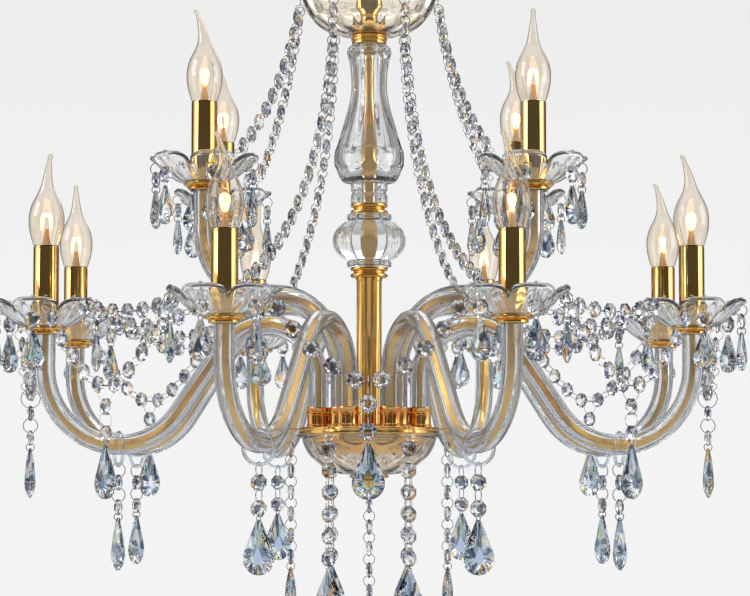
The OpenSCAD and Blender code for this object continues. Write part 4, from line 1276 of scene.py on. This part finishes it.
class CHANDELIER_OT_strands(ChandelierOperator, bpy.types.Operator):
    """Hangs the octagon strands, the swags and the drops that keep still"""

    bl_idname = "chandelier.strands"
    bl_label = "Strands"

    def execute(self, context):
        self.hang_crown_strands()
        self.hang_swags()
        self.hang_dish_drops()
        self.hang_hub_strands()
        return {"FINISHED"}

    def hang_crown_strands(self):
        trim = Trimming()
        for sides, hook, arm, reach, pan, count, bow in CROWN_RUNS:
            for side, way in [(side, way) for side in sides for way in (-1, 1)]:
                start = polar(CROWN_HOOK_R, side + way * hook, CROWN_HOOK_Z)
                end = dish_hook(reach, pan, side + way * arm, 188) + [0, 0, PIN_DOWN + WALL + STRAND_PIN]
                trim.swag(start, end, count, bow, 1)
                trim.pin(start, WALL, STRAND_PIN)
                trim.pin(end, WALL, STRAND_PIN, -1)
        make_trimming("crown_strands", trim, ["crown_strands"])

    def hang_swags(self):
        """The swags. A drop's first link goes round the long swag's middle link, clear of its two ends."""
        hang = 10.0
        clear = 0.9
        trim = Trimming()
        for i in range(LOWER_COUNT):
            spot, azimuth, radius = self.pinned_swag(trim, i, *LONG_SWAG)
            rise = hang - math.sqrt((hang - clear) ** 2 - radius**2)
            trim.plumb(spot + [0, 0, rise], azimuth, 2, SWAG_LINK_R, hang, DROP_SWAG)
            for swag in SHORT_SWAGS if i % 2 == 0 else ():
                self.pinned_swag(trim, i, *swag)
        make_trimming("bead_swags", trim, ["bead_swags"])

    def pinned_swag(self, trim, i, turn, count, bow, ease):
        start = dish_hook(LOWER_REACH, LOWER_PAN, arm_turn(i, LOWER_COUNT), turn)
        end = dish_hook(LOWER_REACH, LOWER_PAN, arm_turn(i + 1, LOWER_COUNT), -turn)
        trim.pin(start, WALL)
        trim.pin(end, WALL)
        return trim.swag(start, end, count, bow, ease)

    def hang_dish_drops(self):
        trim = Trimming()
        for azimuth, reach, pan in CANDLES:
            turns = (0, 60, 168, 300) if reach == LOWER_REACH else (0, 60, 120, 168, 240, 300)
            for turn in turns:
                hook = dish_hook(reach, pan, azimuth, turn)
                trim.pin(hook, WALL)
                trim.plumb(hook, azimuth + turn, 1, LINK_R, LINK_R, DROP_SMALL)
        make_trimming("dish_drops", trim, ["bobeche_drops"])

    def hang_hub_strands(self):
        trim = Trimming()
        for azimuth in LUG_TURNS:
            hook = polar(LUG_RING, azimuth, -PLATE_T - PIN_DOWN)
            trim.pin(hook, PLATE_T)
            trim.plumb(hook, azimuth, 6, LINK_R, LINK_R, DROP_HUB)
        make_trimming("hub_strands", trim, ["hub_strands"])


class CHANDELIER_OT_pendants(ChandelierOperator, bpy.types.Operator):
    """Hangs the swinging pendants: a crystal ring and its drop on each lower arm, and the centre strand"""

    bl_idname = "chandelier.pendants"
    bl_label = "Pendants"

    def execute(self, context):
        centre_z = LOWER_SAG_Z - LOWER_SAG_R - 4.2
        hook = RING_WIRE - RING_R + WIRE_R + 0.3
        for i in range(LOWER_COUNT):
            azimuth = arm_turn(i, LOWER_COUNT)
            spot = polar(LOWER_REACH - LOWER_SAG_R, azimuth, centre_z)
            trim = Trimming()
            trim.plumb(spot + [0, 0, hook], azimuth, 2, PENDANT_LINK_R, PENDANT_LINK_R, DROP_RING)
            side = polar(1, azimuth + 90, 0)
            ring = rings([spot], [side], [(0, 0, 1)], [RING_R], RING_WIRE, 48, 12)
            name = f"ring_drop_{i + 1}"
            body = f"{name}_pendant"
            make_piece(f"{name}_ring", ring, "ring", [name], body, 60)
            make_trimming(name, trim, (), body)
        self.hang_centre()
        return {"FINISHED"}

    def hang_centre(self):
        trim = Trimming()
        foot = trim.plumb(np.array([0, 0, FINIAL_Z - 6.7]), 0, 6, LINK_R, LINK_R)
        trim.link(foot, foot - [0, 0, 2 * SMALL_R], polar(1, 0, 0))
        make_trimming("centre_drop", trim, ["centre_drop"], "centre_pendant")
        ball = cut_ball(END_BALL_R).raised(foot[2] - 2 * SMALL_R + WIRE_R - END_BALL_R)
        make_piece("centre_drop_ball", ball, "drop", (), "centre_pendant", 0, True)


def cut_ball(radius):
    """Faceted ball: rings of points on a sphere, each turned half a step from the last, with flat poles."""
    count = 12
    heights = np.radians([-72, -46, -16, 16, 46, 72])
    turns = (np.arange(len(heights)) % 2 * 0.5)[:, None]
    a = (np.arange(count)[None, :] + turns) * 2 * np.pi / count
    out = radius * np.cos(heights)[:, None]
    points = np.stack([out * np.cos(a), out * np.sin(a), radius * np.sin(heights)[:, None] + 0 * a], axis=-1)
    k = np.arange(count)
    nxt = (k + 1) % count
    faces = []
    for row in range(len(heights) - 1):
        low = row * count
        high = low + count
        if row % 2 == 0:
            faces += [np.stack([low + k, low + nxt, high + k], axis=-1),
                      np.stack([low + nxt, high + nxt, high + k], axis=-1)]
        else:
            faces += [np.stack([low + k, low + nxt, high + nxt], axis=-1),
                      np.stack([low + k, high + nxt, high + k], axis=-1)]
    return Form(points.reshape(-1, 3), faces + end_faces(len(heights), count))


class CHANDELIER_PT_panel(bpy.types.Panel):
    """Lists the settings and the build steps in the sidebar"""

    bl_idname = "CHANDELIER_PT_panel"
    bl_label = "Chandelier"
    bl_space_type = "VIEW_3D"
    bl_region_type = "UI"
    bl_category = "Chandelier"

    def draw(self, context):
        layout = self.layout
        for group in (context.scene.chandelier_sizes, context.scene.chandelier_look):
            for name in group.__annotations__:
                layout.prop(group, name)
        for step in STEPS:
            layout.operator(step.bl_idname)


STEPS = (
    CHANDELIER_OT_stage,
    CHANDELIER_OT_column,
    CHANDELIER_OT_hub,
    CHANDELIER_OT_arms,
    CHANDELIER_OT_candles,
    CHANDELIER_OT_strands,
    CHANDELIER_OT_pendants,
)
CLASSES = (ChandelierSizes, ChandelierLook, *STEPS, CHANDELIER_PT_panel)


def register():
    for cls in CLASSES:
        bpy.utils.register_class(cls)
    bpy.types.Scene.chandelier_sizes = bpy.props.PointerProperty(type=ChandelierSizes)
    bpy.types.Scene.chandelier_look = bpy.props.PointerProperty(type=ChandelierLook)


def unregister():
    del bpy.types.Scene.chandelier_look
    del bpy.types.Scene.chandelier_sizes
    for cls in reversed(CLASSES):
        bpy.utils.unregister_class(cls)


def main():
    register()
    build_finishes(bpy.context.scene.chandelier_look)
    bpy.ops.chandelier.stage()
    bpy.ops.chandelier.column()
    bpy.ops.chandelier.hub()
    bpy.ops.chandelier.arms()
    bpy.ops.chandelier.candles()
    bpy.ops.chandelier.strands()
    bpy.ops.chandelier.pendants()


if __name__ == "__main__":
    main()
